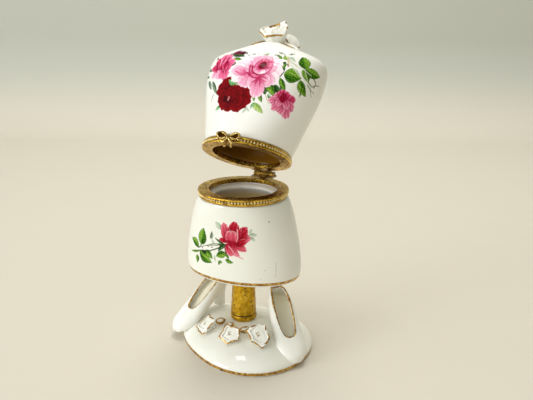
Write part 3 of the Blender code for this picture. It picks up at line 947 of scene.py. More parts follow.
SKIRT_ROSE: Strokes = (
    ((1.2, 20.8), (5.6, 15.6), 1.5), ((0.6, 20.8), (2.7, 15.5), 1.6), ((3.0, 21.0), (9.0, 18.6), 1.6),
    ((4.6, 21.0), (10.4, 24.8), 1.8), ((2.6, 24.4), (4.9, 30.3), 2.0, SKIRT_RED),
    ((5.0, 21.5), (8.8, 28.5), 2.2, SKIRT_RED), ((4.6, 21.5), (6.6, 28.0), 1.1, SKIRT_RED),
    ((1.6, 21.4), (-2.5, 22.4), 1.0, SKIRT_RED), ((0.6, 21.2), (-0.1, 29.5), 1.9),
    ((1.2, 21.2), (1.6, 27.6), 1.0, SKIRT_RED), ((2.6, 19.6), (3.2, 26.3), 2.8),
    ((4.6, 20.4), (9.0, 23.0), 1.5, SKIRT_RED),
)
BOUQUET_LEAVES: Strokes = (
    ((-24.5, 32.0), (-20.2, 29.6), 0.7, GREY_GREEN), ((-26.0, 29.2), (-21.2, 27.2), 0.6, GREY_GREEN),
    ((-21.6, 25.6), (-17.8, 20.8), 0.9, GREY_GREEN), ((-18.0, 24.6), (-13.4, 18.2), 0.9, GREY_GREEN),
    ((-15.2, 19.2), (-16.6, 15.4), 0.4, FAINT_GREEN), ((-21.0, 37.6), (-18.6, 34.4), 0.5, GREY_GREEN),
    ((-13.8, 39.4), (-9.2, 35.8), 0.9, GREY_GREEN), ((-12.8, 38.8), (-9.0, 37.2), 0.8, DARK_GREEN),
    ((-10.6, 37.0), (-5.6, 36.2), 1.1, DARK_GREEN), ((-10.4, 35.2), (-5.8, 33.8), 0.9, LEAF_GREEN),
    ((-10.2, 33.4), (-7.2, 30.4), 1.0, DARK_GREEN), ((-3.2, 38.2), (-0.6, 36.6), 0.6, GREY_GREEN),
    ((1.8, 37.6), (4.6, 39.2), 0.7, MINT_GREEN), ((7.2, 41.6), (10.2, 39.6), 0.6, GREY_GREEN),
    ((12.0, 39.2), (14.2, 41.2), 0.6, GREY_GREEN), ((6.4, 38.0), (10.8, 35.8), 1.2, LEAF_GREEN),
    ((10.8, 38.2), (13.8, 35.4), 1.0, YELLOW_GREEN), ((12.8, 37.4), (16.2, 35.2), 0.8, FAINT_GREEN),
    ((12.4, 34.6), (12.2, 29.6), 1.0, DARK_GREEN), ((13.2, 31.6), (12.2, 26.2), 0.9, DARK_GREEN),
    ((11.8, 29.6), (13.6, 33.4), 0.8, LEAF_GREEN), ((21.4, 33.4), (17.8, 39.8), 2.3, LEAF_GREEN),
    ((21.2, 33.6), (29.2, 33.6), 2.0, LEAF_GREEN), ((20.2, 32.8), (24.2, 28.4), 1.7, LEAF_GREEN),
    ((13.6, 28.8), (20.8, 28.8), 3.0, LEAF_GREEN), ((20.4, 28.0), (24.9, 23.0), 1.8, LEAF_GREEN),
    ((22.6, 26.4), (21.8, 21.6), 0.5, LEAF_GREEN), ((12.6, 26.6), (15.8, 21.4), 1.1, LEAF_GREEN),
    ((7.8, 23.6), (8.4, 18.8), 1.5, DARK_GREEN), ((8.2, 23.2), (12.0, 18.6), 1.6, LEAF_GREEN),
    ((11.2, 23.6), (14.6, 19.4), 1.0, DARK_GREEN), ((6.0, 19.4), (7.8, 15.6), 0.8, LEAF_GREEN),
    ((9.4, 19.4), (10.6, 16.8), 0.6, MINT_GREEN), ((4.2, 15.0), (9.2, 11.2), 1.2, YELLOW_GREEN),
    ((5.2, 15.2), (3.8, 12.4), 0.6, MINT_GREEN), ((3.4, 18.0), (4.6, 15.6), 0.5, LEAF_GREEN),
    ((-9.6, 13.2), (-12.4, 11.4), 0.8, MINT_GREEN), ((-9.6, 12.8), (-8.0, 10.8), 0.4, FAINT_GREEN),
    ((2.4, 13.2), (0.8, 10.2), 0.5, FAINT_GREEN), ((2.0, 12.6), (3.8, 11.2), 0.4, FAINT_GREEN),
)
BOUQUET_TWIGS: Strokes = (
    (((-6.0, 38.6), (-3.6, 36.8), (-1.4, 37.2), (0.4, 38.4)), 0.3, (72, 66, 54)),
    (((10.2, 39.8), (11.6, 37.2), (14.2, 35.2), (17.6, 33.6)), 0.35, (140, 132, 96)),
    (((13.0, 35.4), (17.0, 33.4), (20.2, 33.0), (24.6, 31.8)), 0.55, (226, 230, 210)),
    (((14.0, 34.2), (17.2, 31.6), (20.0, 29.6), (24.0, 28.6)), 0.5, (218, 226, 206)),
    (((21.4, 32.4), (22.6, 30.6), (24.0, 28.6), (24.8, 26.6)), 0.3, (226, 230, 210)),
    (((13.2, 36.0), (13.6, 34.4), (14.4, 32.8)), 0.9, (214, 190, 164)),
    (((13.8, 33.2), (14.4, 32.2)), 0.5, (96, 52, 40)),
    (((24.0, 28.8), (26.6, 28.0), (28.6, 29.4), (30.8, 30.2)), 0.4, (66, 88, 40)),
    (((26.4, 31.2), (28.0, 30.0), (27.8, 27.8)), 0.45, (60, 50, 36)),
    (((24.2, 27.6), (26.6, 26.4), (29.0, 26.2)), 0.35, (82, 100, 60)),
    (((26.0, 27.0), (27.2, 25.0), (28.2, 24.2)), 0.25, (82, 100, 60)),
    (((13.6, 23.4), (14.2, 21.4), (15.2, 19.6)), 0.6, (34, 66, 30)),
    (((8.6, 18.6), (10.0, 16.4), (10.8, 15.4)), 0.3, (190, 160, 120)),
)
BOUQUET_FOLDS: Strokes = (
    (((0.0, 30.6), (0.8, 28.2), (3.2, 26.9), (5.9, 27.0)), 0.9, (166, 22, 64)),
    (((5.8, 27.0), (7.4, 28.6), (8.1, 31.0), (7.2, 33.6)), 0.6, (192, 56, 100)),
    (((1.0, 30.0), (1.3, 32.2), (2.8, 34.0)), 0.6, (178, 36, 80)),
    (((2.9, 30.6), (3.0, 32.0), (4.2, 33.3)), 0.6, (128, 4, 36)),
    (((5.6, 30.4), (5.7, 31.8), (4.9, 33.0)), 0.55, (128, 4, 36)),
    (((3.4, 29.9), (4.4, 29.6), (5.6, 30.2)), 0.4, (150, 14, 50)),
    (((6.3, 30.0), (6.4, 32.4), (5.0, 34.4)), 0.55, (178, 36, 80)),
    (((-0.6, 31.6), (-0.2, 34.0), (1.6, 36.0)), 0.4, (222, 122, 158)),
    (((-1.0, 31.0), (-0.7, 28.6), (0.4, 26.2)), 0.9, (180, 36, 82)),
    (((-6.6, 27.9), (-4.2, 26.7), (-1.6, 25.9)), 0.6, (210, 84, 128)),
    (((-1.2, 27.4), (1.4, 25.6), (4.2, 25.4)), 0.8, (172, 26, 68)),
    (((4.2, 25.9), (5.8, 26.0), (7.4, 25.5)), 0.7, (172, 26, 68)),
    (((4.0, 25.6), (2.8, 24.2), (1.6, 23.4)), 0.7, (186, 44, 90)),
    (((4.1, 25.4), (3.7, 24.2), (3.4, 23.0)), 0.7, (176, 30, 74)),
    (((4.4, 25.4), (4.9, 24.2), (5.2, 22.6)), 0.6, (186, 44, 90)),
    (((4.8, 25.6), (6.2, 24.5), (7.4, 24.1)), 0.6, (196, 62, 108)),
    (((4.5, 22.2), (4.6, 20.4), (4.8, 18.8)), 0.35, (228, 132, 170)),
    (((9.8, 33.0), (9.6, 30.0), (8.4, 27.6)), 0.35, (240, 168, 196)),
    (((-9.8, 14.2), (-10.6, 17.2), (-9.4, 20.4)), 0.5, (72, 0, 6)),
    (((-3.2, 12.8), (-2.2, 16.4), (-3.4, 20.4)), 0.5, (78, 0, 6)),
    (((-0.8, 13.2), (0.4, 16.4), (-0.8, 19.6)), 0.45, (84, 0, 8)),
    (((-7.4, 12.6), (-4.8, 13.4), (-3.8, 16.0)), 0.45, (74, 0, 6)),
    (((-8.6, 21.4), (-5.4, 20.6), (-3.2, 18.6)), 0.45, (72, 0, 6)),
    (((-12.8, 35.4), (-13.0, 32.0), (-12.6, 27.6)), 0.8, (132, 8, 46)),
    (((-18.6, 33.2), (-17.2, 31.0), (-16.6, 28.2)), 0.7, (132, 10, 52)),
    (((-11.0, 30.4), (-11.4, 26.6)), 0.5, (164, 30, 74)),
    (((-15.0, 37.0), (-14.6, 33.0)), 0.5, (150, 22, 64)),
    (((-16.4, 35.0), (-15.8, 31.4)), 0.4, (250, 214, 226)),
)
SPRAY_LEAVES: Strokes = (
    ((-1.4, 26.6), (-4.2, 29.4), 1.1, FAINT_GREEN), ((-6.8, 21.4), (-6.0, 25.0), 0.7, GREY_GREEN),
    ((-5.2, 19.6), (-6.0, 21.6), 0.5, FAINT_GREEN), ((9.8, 25.0), (13.2, 25.4), 0.9, FAINT_GREEN),
    ((10.0, 26.0), (11.0, 28.0), 0.5, FAINT_GREEN), ((10.2, 24.2), (12.4, 22.6), 0.6, FAINT_GREEN),
    ((-12.4, 17.6), (-10.6, 25.4), 2.4, LEAF_GREEN), ((-13.8, 16.2), (-19.8, 18.6), 1.7, LEAF_GREEN),
    ((-13.6, 14.4), (-20.4, 12.6), 0.5, LEAF_GREEN), ((-15.0, 12.4), (-15.4, 8.6), 1.1, LEAF_GREEN),
    ((-13.4, 14.8), (-6.6, 10.8), 2.2, LEAF_GREEN), ((-10.6, 15.4), (-6.2, 12.6), 1.5, LEAF_GREEN),
    ((0.2, 16.6), (-4.4, 14.2), 1.5, LEAF_GREEN), ((-0.2, 13.6), (3.4, 12.6), 0.8, LEAF_GREEN),
    ((-3.0, 12.6), (-3.4, 10.4), 0.5, LEAF_GREEN), ((-3.0, 12.6), (-1.6, 11.6), 0.5, LEAF_GREEN),
    ((-5.0, 14.6), (-4.8, 11.6), 0.5, FAINT_GREEN), ((0.0, 16.4), (1.4, 13.4), 0.6, LEAF_GREEN),
)
SPRAY_STEMS: Strokes = (
    (((-0.2, 20.0), (-3.4, 18.0), (-8.0, 15.9), (-12.4, 15.0), (-16.0, 13.9)), 0.55, (44, 74, 22)),
    (((-3.2, 19.4), (-8.0, 18.4), (-12.0, 16.9), (-15.4, 15.8)), 0.35, (60, 84, 42)),
    (((-2.0, 20.2), (-5.4, 19.6), (-8.6, 18.2)), 0.35, (70, 100, 40)),
    (((-12.4, 17.6), (-13.4, 16.2), (-14.8, 15.4)), 0.35, (44, 60, 30)),
    (((-8.6, 18.1), (-7.9, 17.7)), 0.5, (88, 44, 34)), (((-6.5, 18.0), (-5.9, 17.7)), 0.5, (88, 44, 34)),
    (((-11.9, 16.5), (-11.2, 16.2)), 0.4, (60, 44, 34)),
)
SPRAY_SEPALS: Strokes = (
    ((-0.2, 20.2), (-4.7, 22.5), 0.5, DARK_GREEN), ((0.4, 20.2), (-3.4, 19.6), 0.7, DARK_GREEN),
    ((0.4, 20.4), (-3.4, 16.6), 0.8, DARK_GREEN), ((0.4, 20.6), (0.2, 15.8), 0.8, DARK_GREEN),
)


def paint_bouquet(canvas: Canvas) -> None:
    """Paints the bust's spray: leaves and twigs first, then five flowers from the edges to the middle.

    Args:
        canvas: The bust's canvas.
    """
    canvas.leaves(BOUQUET_LEAVES, 1)
    canvas.stems(BOUQUET_TWIGS)
    canvas.petal((-5.4, 38.8), (-12.6, 40.4), 1.9, PURPLE, 3)
    canvas.flower(SHOULDER_ROSE, ROSE_PINK, 7)
    canvas.leaf((-3.8, 21.8), (-9.0, 24.8), 1.3, MINT_GREEN, 41)
    canvas.flower(DEEP_ROSE, DARK_RED, 20)
    canvas.spot((-8.4, 16.0), 0.9, (50, 0, 4), 0.8, 1.6, 1.4)
    canvas.spot((-6.7, 16.2), 0.45, (206, 132, 134), 0.85, 2.4, 1.5)
    canvas.spot((-5.6, 16.4), 0.35, (64, 0, 8), 0.8, 4.0, 1.2)
    canvas.leaf((-4.6, 22.6), (-8.8, 24.2), 1.2, MINT_GREEN, 42)
    canvas.flower(PALE_ROSE, PALE_PINK, 40)
    canvas.flower(PALE_ROSE_HEART, PALE_PINK, 60)
    canvas.spot((4.1, 31.2), 1.7, (158, 14, 52), 0.95, 1.25, 1.2)
    canvas.spot((4.2, 31.2), 1.1, (92, 0, 18), 0.95, 1.5, 1.3)
    canvas.flower(PALE_ROSE_LIPS, PALE_PINK, 70)
    canvas.stems(BOUQUET_FOLDS, 0.85)
    canvas.flower(SIDE_FLOWER, CRIMSON_PINK, 80)
    canvas.spot((15.5, 19.4), 1.3, (128, 2, 30), 0.8, 1.4, 1.3)


def paint_spray(canvas: Canvas) -> None:
    """Paints the skirt's single rose lying on its leafy stem, and the glaze's few specks and its hairline.

    Args:
        canvas: The skirt's canvas.
    """
    canvas.leaves(SPRAY_LEAVES, 1)
    canvas.stems(SPRAY_STEMS)
    canvas.leaves(SPRAY_SEPALS, 21)
    canvas.spot((-10.8, 14.7), 0.8, (10, 26, 10), 0.8, 1.8, -0.2)
    canvas.spot((-11.6, 19.4), 0.5, (16, 40, 12), 0.7, 2.4, 1.2)
    canvas.flower(SKIRT_ROSE, SKIRT_PINK, 11)
    canvas.spot((2.8, 21.4), 0.9, (148, 4, 34), 0.7, 3.2, -0.1)
    canvas.stem(((4.6, 16.8), (6.0, 15.4), (7.4, 14.9)), 0.8, (226, 142, 160), 0.8)
    canvas.stem(((1.6, 19.8), (3.2, 18.0), (4.4, 16.0)), 0.3, (242, 190, 198))
    canvas.stem(((5.3, 27.4), (5.5, 24.6), (5.0, 22.0)), 0.35, (244, 196, 204))
    canvas.stem(((1.0, 25.8), (2.8, 26.4), (5.0, 26.0)), 0.35, (244, 196, 204))
    canvas.spot((18.1, 30.5), 0.32, (120, 110, 98), 0.8)
    canvas.spot((16.2, 10.1), 0.3, (176, 174, 160), 0.5)
    canvas.spot((14.5, 6.0), 0.3, (186, 182, 168), 0.5)
    canvas.stem(((20.7, 13.2), (20.8, 10.0), (20.6, 7.0)), 0.22, (186, 184, 168))


# ---------------------------------------------------------------- porcelain hollows


RING_SAMPLES = 720
LINE_SAMPLES = 1600
INSIDE_ROWS = 26
BACK_COLUMNS = 40
RIM_PROFILE = ((15.3, 2.4), (15.3, 1.6), (15.7, 1.25), (17.0, 1.25), (17.4, 1.6), (17.4, 3.05), (18.2, 3.2))


def superellipses(rows: Array, shares: Array, lean: float) -> Array:
    """Rings x = a sgn(sin) |sin|^(2/p), y = -d sgn(cos) |cos|^(2/p), spaced evenly along their own length.

    Args:
        rows: Height, half width, depth in front, depth behind and power of each ring.
        shares: Share of the way round of each column, from -0.5 to 0.5, with 0 in front.
        lean: Sideways shift for each unit of height above the parting.

    Returns:
        Points shaped rows by columns by 3.
    """
    angle = np.linspace(-np.pi, np.pi, RING_SAMPLES + 1)
    s, c = np.sin(angle), np.cos(angle)
    made = []
    for height, wide, front, back, power in rows:
        x = wide * signed_power(s, 2 / power)
        y = -np.where(c > 0, front, back) * signed_power(c, 2 / power)
        length = np.r_[0, np.cumsum(np.hypot(np.diff(x), np.diff(y)))]
        share = (length - length[RING_SAMPLES // 2]) / length[-1]
        shifted = np.interp(shares, share, x) + lean * (height - PARTING_Z)
        made.append(np.stack([shifted, np.interp(shares, share, y), np.full_like(shares, height)], -1))
    return np.array(made)


def rim_rows(side: int) -> list[tuple[float, ...]]:
    """Rings of the porcelain rim inside its bezel, going outwards, side -1 for the cup and 1 for the lid."""
    return [(PARTING_Z + side * far, radius, radius, radius, 2.0) for radius, far in RIM_PROFILE]


@dataclass
class Hollow:
    """A porcelain hollow: its inside, its rim and its painted outside in one skin.

    Attributes:
        outside: Height, half width, front, back and power of the rings from the rim outwards.
        inside: The same from the middle of the inside to the rim.
        side: 1 if the hollow is above the parting, -1 if it is below.
        runs: Runs of distance along the outside, from its rim, at which rows are laid.
        lean: Sideways shift for each unit of height.
        fine: Start, end and step count of the columns that carry the painting.
    """

    outside: Sequence[Sequence[float]]
    inside: Sequence[Sequence[float]]
    side: int
    runs: Sequence[tuple[float, float, int]]
    fine: tuple[float, float, int]
    lean: float = 0.0
    canvas: Canvas | None = None

    def outer_rows(self) -> Array:
        """Smooth rings of the outside, at the wanted distances along its front line.

        Returns:
            The rings' rows.
        """
        dense = smooth_through(self.outside, LINE_SAMPLES)
        gone = np.r_[0, np.cumsum(np.hypot(np.diff(dense[:, 0]), np.diff(dense[:, 2])))]
        wanted = stretches(*self.runs)
        positions = np.linspace(0, len(self.outside) - 1, LINE_SAMPLES)
        return smooth_through(self.outside, np.interp(wanted / wanted[-1] * gone[-1], gone, positions))

    def skin(self, ground: Colour, inner: Callable[[Array], Array], flip: bool) -> Skin:
        """Builds the skin and an empty canvas over its outside.

        Args:
            ground: The glaze's display colour.
            inner: Display colours of the inside, from its heights: painted shade, and in the cup painted
                light near the mouth.
            flip: Whether the canvas is measured from the last row back to the first.

        Returns:
            The skin, with the bare colours and the inside's painted shade already in its paint mark.
        """
        start, end, steps = self.fine
        shares = stretches((-0.5, start, BACK_COLUMNS), (start, end, steps), (end, 0.5, BACK_COLUMNS))[:-1]
        inside, rim = smooth_through(self.inside, INSIDE_ROWS), np.array(rim_rows(self.side))
        outside = self.outer_rows()
        points = superellipses(np.vstack([inside, rim, outside]), shares, self.lean)
        shell = points[len(inside) + len(rim):]
        ordered = shell[::-1] if flip else shell
        across = np.cumsum(np.linalg.norm(ordered - np.roll(ordered, 1, 1), axis=2), 1)
        across -= across[:, [int(np.argmin(np.abs(shares)))]]
        self.canvas = Canvas(across, distance_down(ordered), ground)
        paint = np.tile(np.array(ground, float), (*points.shape[:2], 1))
        paint[: len(inside)] = inner(points[: len(inside), :, 2])
        # The first rim rows take the inside's painted shade as well.
        paint[len(inside): len(inside) + 3] = paint[len(inside) - 1]
        return Skin(points, {"paint": linear(paint)})

    def show(self, skin: Skin, flip: bool) -> None:
        """Puts the canvas's colours on the skin's outside."""
        done = self.canvas.colours()
        skin.marks["paint"][-len(done):] = done[::-1] if flip else done


@dataclass
class Bust:
    """The lid's dressmaker's bust, hollow, with the bouquet over its breast and shoulders."""

    ground: Colour = (244, 244, 238)
    # Flat dark brown painted over the inside and its rim: painted shade in the hollow.
    inside_shade: Colour = (128.0, 86.0, 22.0)
    bouquet_drop: float = 0.5
    hollow: Hollow = field(default_factory=lambda: Hollow(
        outside=[(PARTING_Z + height, *rest) for height, *rest in (
            (3.2, 18.2, 18.2, 18.2, 2.0), (4.0, 18.6, 18.2, 18.2, 2.0), (8.0, 19.8, 17.6, 17.2, 2.1),
            (15.0, 21.6, 17.0, 15.8, 2.25), (22.0, 23.4, 17.2, 15.0, 2.35), (28.5, 24.8, 17.4, 14.6, 2.45),
            (34.6, 25.4, 16.4, 14.0, 2.5), (39.2, 25.4, 14.2, 13.0, 2.5), (42.0, 24.6, 12.0, 11.6, 2.4),
            (44.4, 21.4, 10.4, 10.0, 2.2), (46.6, 16.0, 9.0, 8.8, 2.1), (48.4, 11.0, 8.0, 7.8, 2.0),
            (49.8, 7.4, 6.4, 6.2, 2.0), (51.4, 5.2, 4.8, 4.8, 2.0), (53.0, 4.6, 4.4, 4.4, 2.0),
        )],
        inside=[(PARTING_Z + height, *rest) for height, *rest in (
            (44.4, 1.0, 1.0, 1.0, 2.0), (43.8, 11.0, 5.6, 5.6, 2.0), (40.4, 19.8, 8.8, 8.6, 2.2),
            (36.4, 21.8, 11.4, 10.4, 2.3), (29.0, 21.4, 13.8, 11.2, 2.3), (20.0, 19.6, 13.6, 11.8, 2.2),
            (10.0, 16.8, 14.0, 13.6, 2.1), (5.0, 15.2, 15.0, 15.0, 2.0), (3.2, 14.9, 14.9, 14.9, 2.0),
        )],
        side=1,
        runs=((0.0, 7.0, 12), (7.0, 43.0, 176), (43.0, 63.0, 20)),
        fine=(-0.21, 0.25, 310),
        lean=0.052,
    ))

    def build(self, glaze: bpy.types.Material) -> None:
        """Builds the bust with its painting.

        Args:
            glaze: Its glaze.
        """
        skin = self.hollow.skin(self.ground, lambda heights: np.tile(self.inside_shade, (*heights.shape, 1)), False)
        self.hollow.canvas.up += self.bouquet_drop
        paint_bouquet(self.hollow.canvas)
        self.hollow.show(skin, False)
        make_piece("bust", [skin], Body.LID, glaze, ["torso"])


@dataclass
class SkirtCup:
    """The stand's cup, shaped as the bust's skirt, with a rose spray and a gold line near its hem."""

    ground: Colour = (240, 241, 233)
    # Painted shade in the cup's depth, with painted light added towards the mouth between the glow heights.
    inside_shade: Colour = (214.0, 190.0, 128.0)
    inside_painted_light: Colour = (40.0, 62.0, 118.0)
    glow_z: tuple[float, float] = (63, 66)
    gold_line_z: float = 34.9
    gold_line_width: float = 1.3
    hollow: Hollow = field(default_factory=lambda: Hollow(
        outside=[(z, a, b, b, 2.0) for z, a, b in (
            (67.8, 18.2, 18.2), (67.0, 19.1, 18.4), (64.0, 20.6, 18.4), (58.0, 22.5, 18.3),
            (52.0, 23.9, 18.1), (47.0, 24.9, 17.8), (42.0, 25.5, 17.5), (38.0, 25.7, 17.3),
            (35.0, 25.4, 17.0), (33.6, 24.6, 16.3), (33.0, 22.6, 14.6),
        )],
        inside=[(z, a, b, b, 2.0) for z, a, b in (
            (37.0, 1.0, 1.0), (37.0, 16.0, 10.0), (38.5, 20.4, 13.0), (42.0, 21.6, 14.0),
            (50.0, 20.8, 14.6), (58.0, 18.6, 15.0), (64.0, 15.0, 14.4), (66.6, 12.6, 12.5),
            (67.6, 12.4, 12.4), (68.2, 13.2, 13.2), (68.4, 14.6, 14.6),
        )],
        side=-1,
        runs=((0.0, 4.0, 8), (4.0, 28.0, 140), (28.0, 32.0, 8), (32.0, 36.6, 30)),
        fine=(-0.19, 0.18, 250),
    ))

    def inside_shade_and_light(self, heights: Array) -> Array:
        """The inside's display colours: painted shade in the depth and painted light towards the mouth.

        Args:
            heights: Heights of the points.

        Returns:
            One display colour for each point.
        """
        low, high = self.glow_z
        glow = ease((heights[..., None] - low) / (high - low))
        return np.array(self.inside_shade) + glow * np.array(self.inside_painted_light)

    def build(self, glaze: bpy.types.Material) -> None:
        """Builds the cup with its painting and gold line.

        Args:
            glaze: Its glaze.
        """
        skin = self.hollow.skin(self.ground, self.inside_shade_and_light, True)
        paint_spray(self.hollow.canvas)
        self.hollow.show(skin, True)
        outer = len(self.hollow.canvas.colours())
        heights = skin.points[..., 2]
        line = np.clip(1 - np.abs(heights - self.gold_line_z) / self.gold_line_width, 0, 1)
        line[:-outer] = 0
        skin.marks["gilt"] = line
        make_piece("skirt", [skin], Body.STAND, glaze, ["skirt_cup"])


@dataclass
class Mound:
    """The hollow base, an irregular low dome with a drain hole underneath and a gold line round its foot."""

    ground: Colour = (241, 241, 232)
    hidden: Colour = (222, 212, 190)
    skin_share: float = 0.996
    gold_line_z: float = 1.15
    gold_line_width: float = 1.3
    edge: float = 1.8
    rise: float = 8.6
    wall: float = 3.0
    drain_at: float = 13.0
    drain_radius: float = 2.2
    columns: int = 224

    def outline(self, angle: Array) -> Array:
        """Plan radius: a circle drawn out to the sides and the front right by three harmonics.

        Args:
            angle: Angle from +X.

        Returns:
            The radius at each angle.
        """
        first = 28.1 + 2.1 * np.cos(angle) - 1.6 * np.sin(angle)
        second = 2.3 * np.cos(2 * angle) - 1.4 * np.sin(2 * angle)
        return first + second - 0.7 * np.cos(3 * angle) + 0.4 * np.sin(3 * angle)

    def ring(self, share: float, z: float, inset: float = 0.0) -> Array:
        """The outline scaled by share, at a height.

        Args:
            share: Share of the outline.
            z: Its height.
            inset: How far the outline is drawn in first.

        Returns:
            The ring's points.
        """
        angle = angles(self.columns)
        radius = (self.outline(angle) - inset) * share
        return np.stack([radius * np.cos(angle), radius * np.sin(angle), np.full_like(angle, z)], -1)

    def dome(self, share: float) -> float:
        """Height edge + rise (1 - share^2.3)^0.6 of the skin."""
        return self.edge + self.rise * (1 - share**2.3) ** 0.6

    def build(self, glaze: bpy.types.Material) -> None:
        """Builds outside, underside, drain and inside as one skin from the top's middle to the ceiling's.

        Args:
            glaze: Its glaze.
        """
        shares = self.skin_share * np.sin(np.linspace(0.02, 1, 46) * np.pi / 2)
        rings = [self.ring(share, self.dome(share)) for share in shares]
        rings += [self.ring(self.skin_share + 0.003 * math.sin(z * 2.4), z) for z in (1.5, 1.2, 0.9, 0.6)]
        rings += [self.ring(0.992, 0.3), self.ring(0.987, 0.08), self.ring(0.98, 0.0)]
        angle = angles(self.columns)
        drain = np.stack([np.cos(angle), np.sin(angle), 0 * angle], -1) * self.drain_radius
        drain[:, 1] += self.drain_at
        foot = rings[-1]
        rings += [foot + (drain - foot) * share for share in (0.2, 0.45, 0.7, 0.9)]
        rings += [drain + (0, 0, lift) for lift in (0.05, 0.3, 1.5, self.wall - 0.1, self.wall)]
        floor = self.ring(0.84, self.wall, self.wall) - rings[-1]
        rings += [rings[-1] + floor * share for share in (0.4, 0.8, 1)]
        ceiling = [
            self.ring(share, max(self.wall, self.dome(share) - self.wall), self.wall)
            for share in (0.8, 0.7, 0.5, 0.25, 0.03)
        ]
        points = np.array(rings + ceiling)
        top = slice(0, len(shares))
        points[top, :, 2] += 0.12 * ripple(points[top, :, :2], 9.0, 3) * (1 - shares[:, None] ** 4)
        heights = points[..., 2]
        line = np.clip(1 - np.abs(heights - self.gold_line_z) / self.gold_line_width, 0, 1)
        line[len(shares) + 5:] = 0
        paint = np.tile(linear(self.ground), (*heights.shape, 1))
        paint[len(shares) + 7:] = linear(self.hidden)
        skin = Skin(points, {"gilt": line, "paint": paint})
        make_piece("base", [skin], Body.STAND, glaze, ["base_mound"])


@dataclass
class Post:
    """The gilt post between base and skirt, flared at its foot, with a scored ring."""

    profile: Sequence[tuple[float, float]] = (
        (4.7, 33.02), (4.9, 32.4), (5.0, 27.0), (5.3, 20.0), (5.6, 14.2), (5.62, 13.7), (5.42, 13.3),
        (5.46, 13.0), (5.75, 12.7), (5.78, 11.8), (5.6, 11.0), (4.9, 10.2),
    )
    score_z: float = 13.2
    score_width: float = 0.22
    rows: int = 120
    columns: int = 128

    def build(self, gilt: bpy.types.Material) -> None:
        """Turns the post, with a slightly uneven skin.

        Args:
            gilt: Its gilding.
        """
        rows = smooth_through(self.profile, self.rows)
        skin = turned(
            rows, self.columns, False, lambda a, z: 0.05 * np.sin(3 * a + z / 3) + 0.03 * np.sin(7 * a - z)
        )
        score = np.exp(-((rows[:, 1] - self.score_z) / self.score_width) ** 2)
        skin.marks["recess"] = score[:, None] * np.ones(self.columns)
        make_piece("gilt_post", [skin], Body.STAND, gilt, ["post"])


# ---------------------------------------------------------------- brass mounts


def bead(centre: Sequence[float], radius: float) -> Skin:
    """A small ball of eight columns and four rows.

    Args:
        centre: Its middle.
        radius: Its radius.

    Returns:
        The ball's skin.
    """
    lift = np.linspace(-0.82, 0.82, 4) * np.pi / 2
    angle = angles(8)
    ring = np.stack([np.cos(lift)[:, None] * np.cos(angle), np.cos(lift)[:, None] * np.sin(angle),
                     np.sin(lift)[:, None] * np.ones(8)], -1)
    return Skin(ring * radius + np.asarray(centre))


@dataclass
class Bezels:
    """Two turned brass rings with a flat face, a beaded groove and a smooth flange."""

    profile: Sequence[tuple[float, float]] = (
        (14.5, 0.15), (14.7, 0.12), (16.5, 0.2), (18.5, 0.13), (18.85, 0.2), (19.0, 0.42), (19.0, 0.72),
        (18.85, 0.92), (18.45, 1.0), (18.4, 1.42), (18.45, 1.85), (18.68, 1.95), (18.78, 2.12),
        (18.76, 2.45), (18.5, 2.75), (17.7, 2.75), (17.7, 0.98), (15.0, 0.98), (15.0, 1.9), (14.5, 1.9),
        (14.42, 1.2), (14.5, 0.6),
    )
    row_step: float = 0.5
    columns: int = 360
    hammer_length: float = 1.1
    hammer_depth: float = 0.11
    beads: int = 91
    bead_radius: float = 0.54
    bead_circle: float = 18.6
    bead_far: float = 1.42

    def ring(self, side: int) -> Skin:
        """One ring. The face is finely hammered, and the groove and the hammer marks are recessed.

        Args:
            side: -1 for the lower ring, 1 for the upper.

        Returns:
            The ring's skin.
        """
        rows = np.array(self.profile)
        fine = []
        for first, second in zip(rows, np.roll(rows, -1, 0)):
            steps = max(1, int(np.linalg.norm(second - first) / self.row_step))
            fine += [first + (second - first) * step / steps for step in range(steps)]
        profile = np.array(fine)
        far, radius = profile[:, 1].copy(), profile[:, 0]
        profile[:, 1] = PARTING_Z + side * far
        skin = turned(profile, self.columns)
        face = ((far < 0.3) & (radius > 14.7) & (radius < 18.6))[:, None] * 1.0
        hammer = ripple(skin.points[..., :2], self.hammer_length, 11 + side)
        skin.points[..., 2] += -side * self.hammer_depth * np.minimum(hammer, 0.6) * face
        groove = ((radius < 18.6) & (radius > 18.3) & (far > 0.95) & (far < 1.9))[:, None]
        inner = (radius < 14.6)[:, None] * 0.45
        skin.marks["recess"] = np.clip(groove * 1.0 + face * ease(-hammer * 1.1 - 0.05) * 0.9 + inner, 0, 1)
        return skin

    def build(self, brass: bpy.types.Material, wear_and_sheen: bpy.types.Material) -> None:
        """Builds both rings in brass and their beads in a paler brass: painted sheen over rubbed wear.

        Args:
            brass: The rings' finish.
            wear_and_sheen: The beads' finish, whose pale colours are painted sheen.
        """
        for side, body, node in ((-1, Body.STAND, "lower_bezel"), (1, Body.LID, "upper_bezel")):
            word = node.split("_")[0]
            make_piece(f"{word}_ring", [self.ring(side)], body, brass, [node], 40)
            turns = (np.arange(self.beads) + 0.5) / self.beads * TAU
            far, z = self.bead_circle, PARTING_Z + side * self.bead_far
            balls = [bead((far * math.sin(a), -far * math.cos(a), z), self.bead_radius) for a in turns]
            make_piece(f"{word}_beads", balls, body, wear_and_sheen)


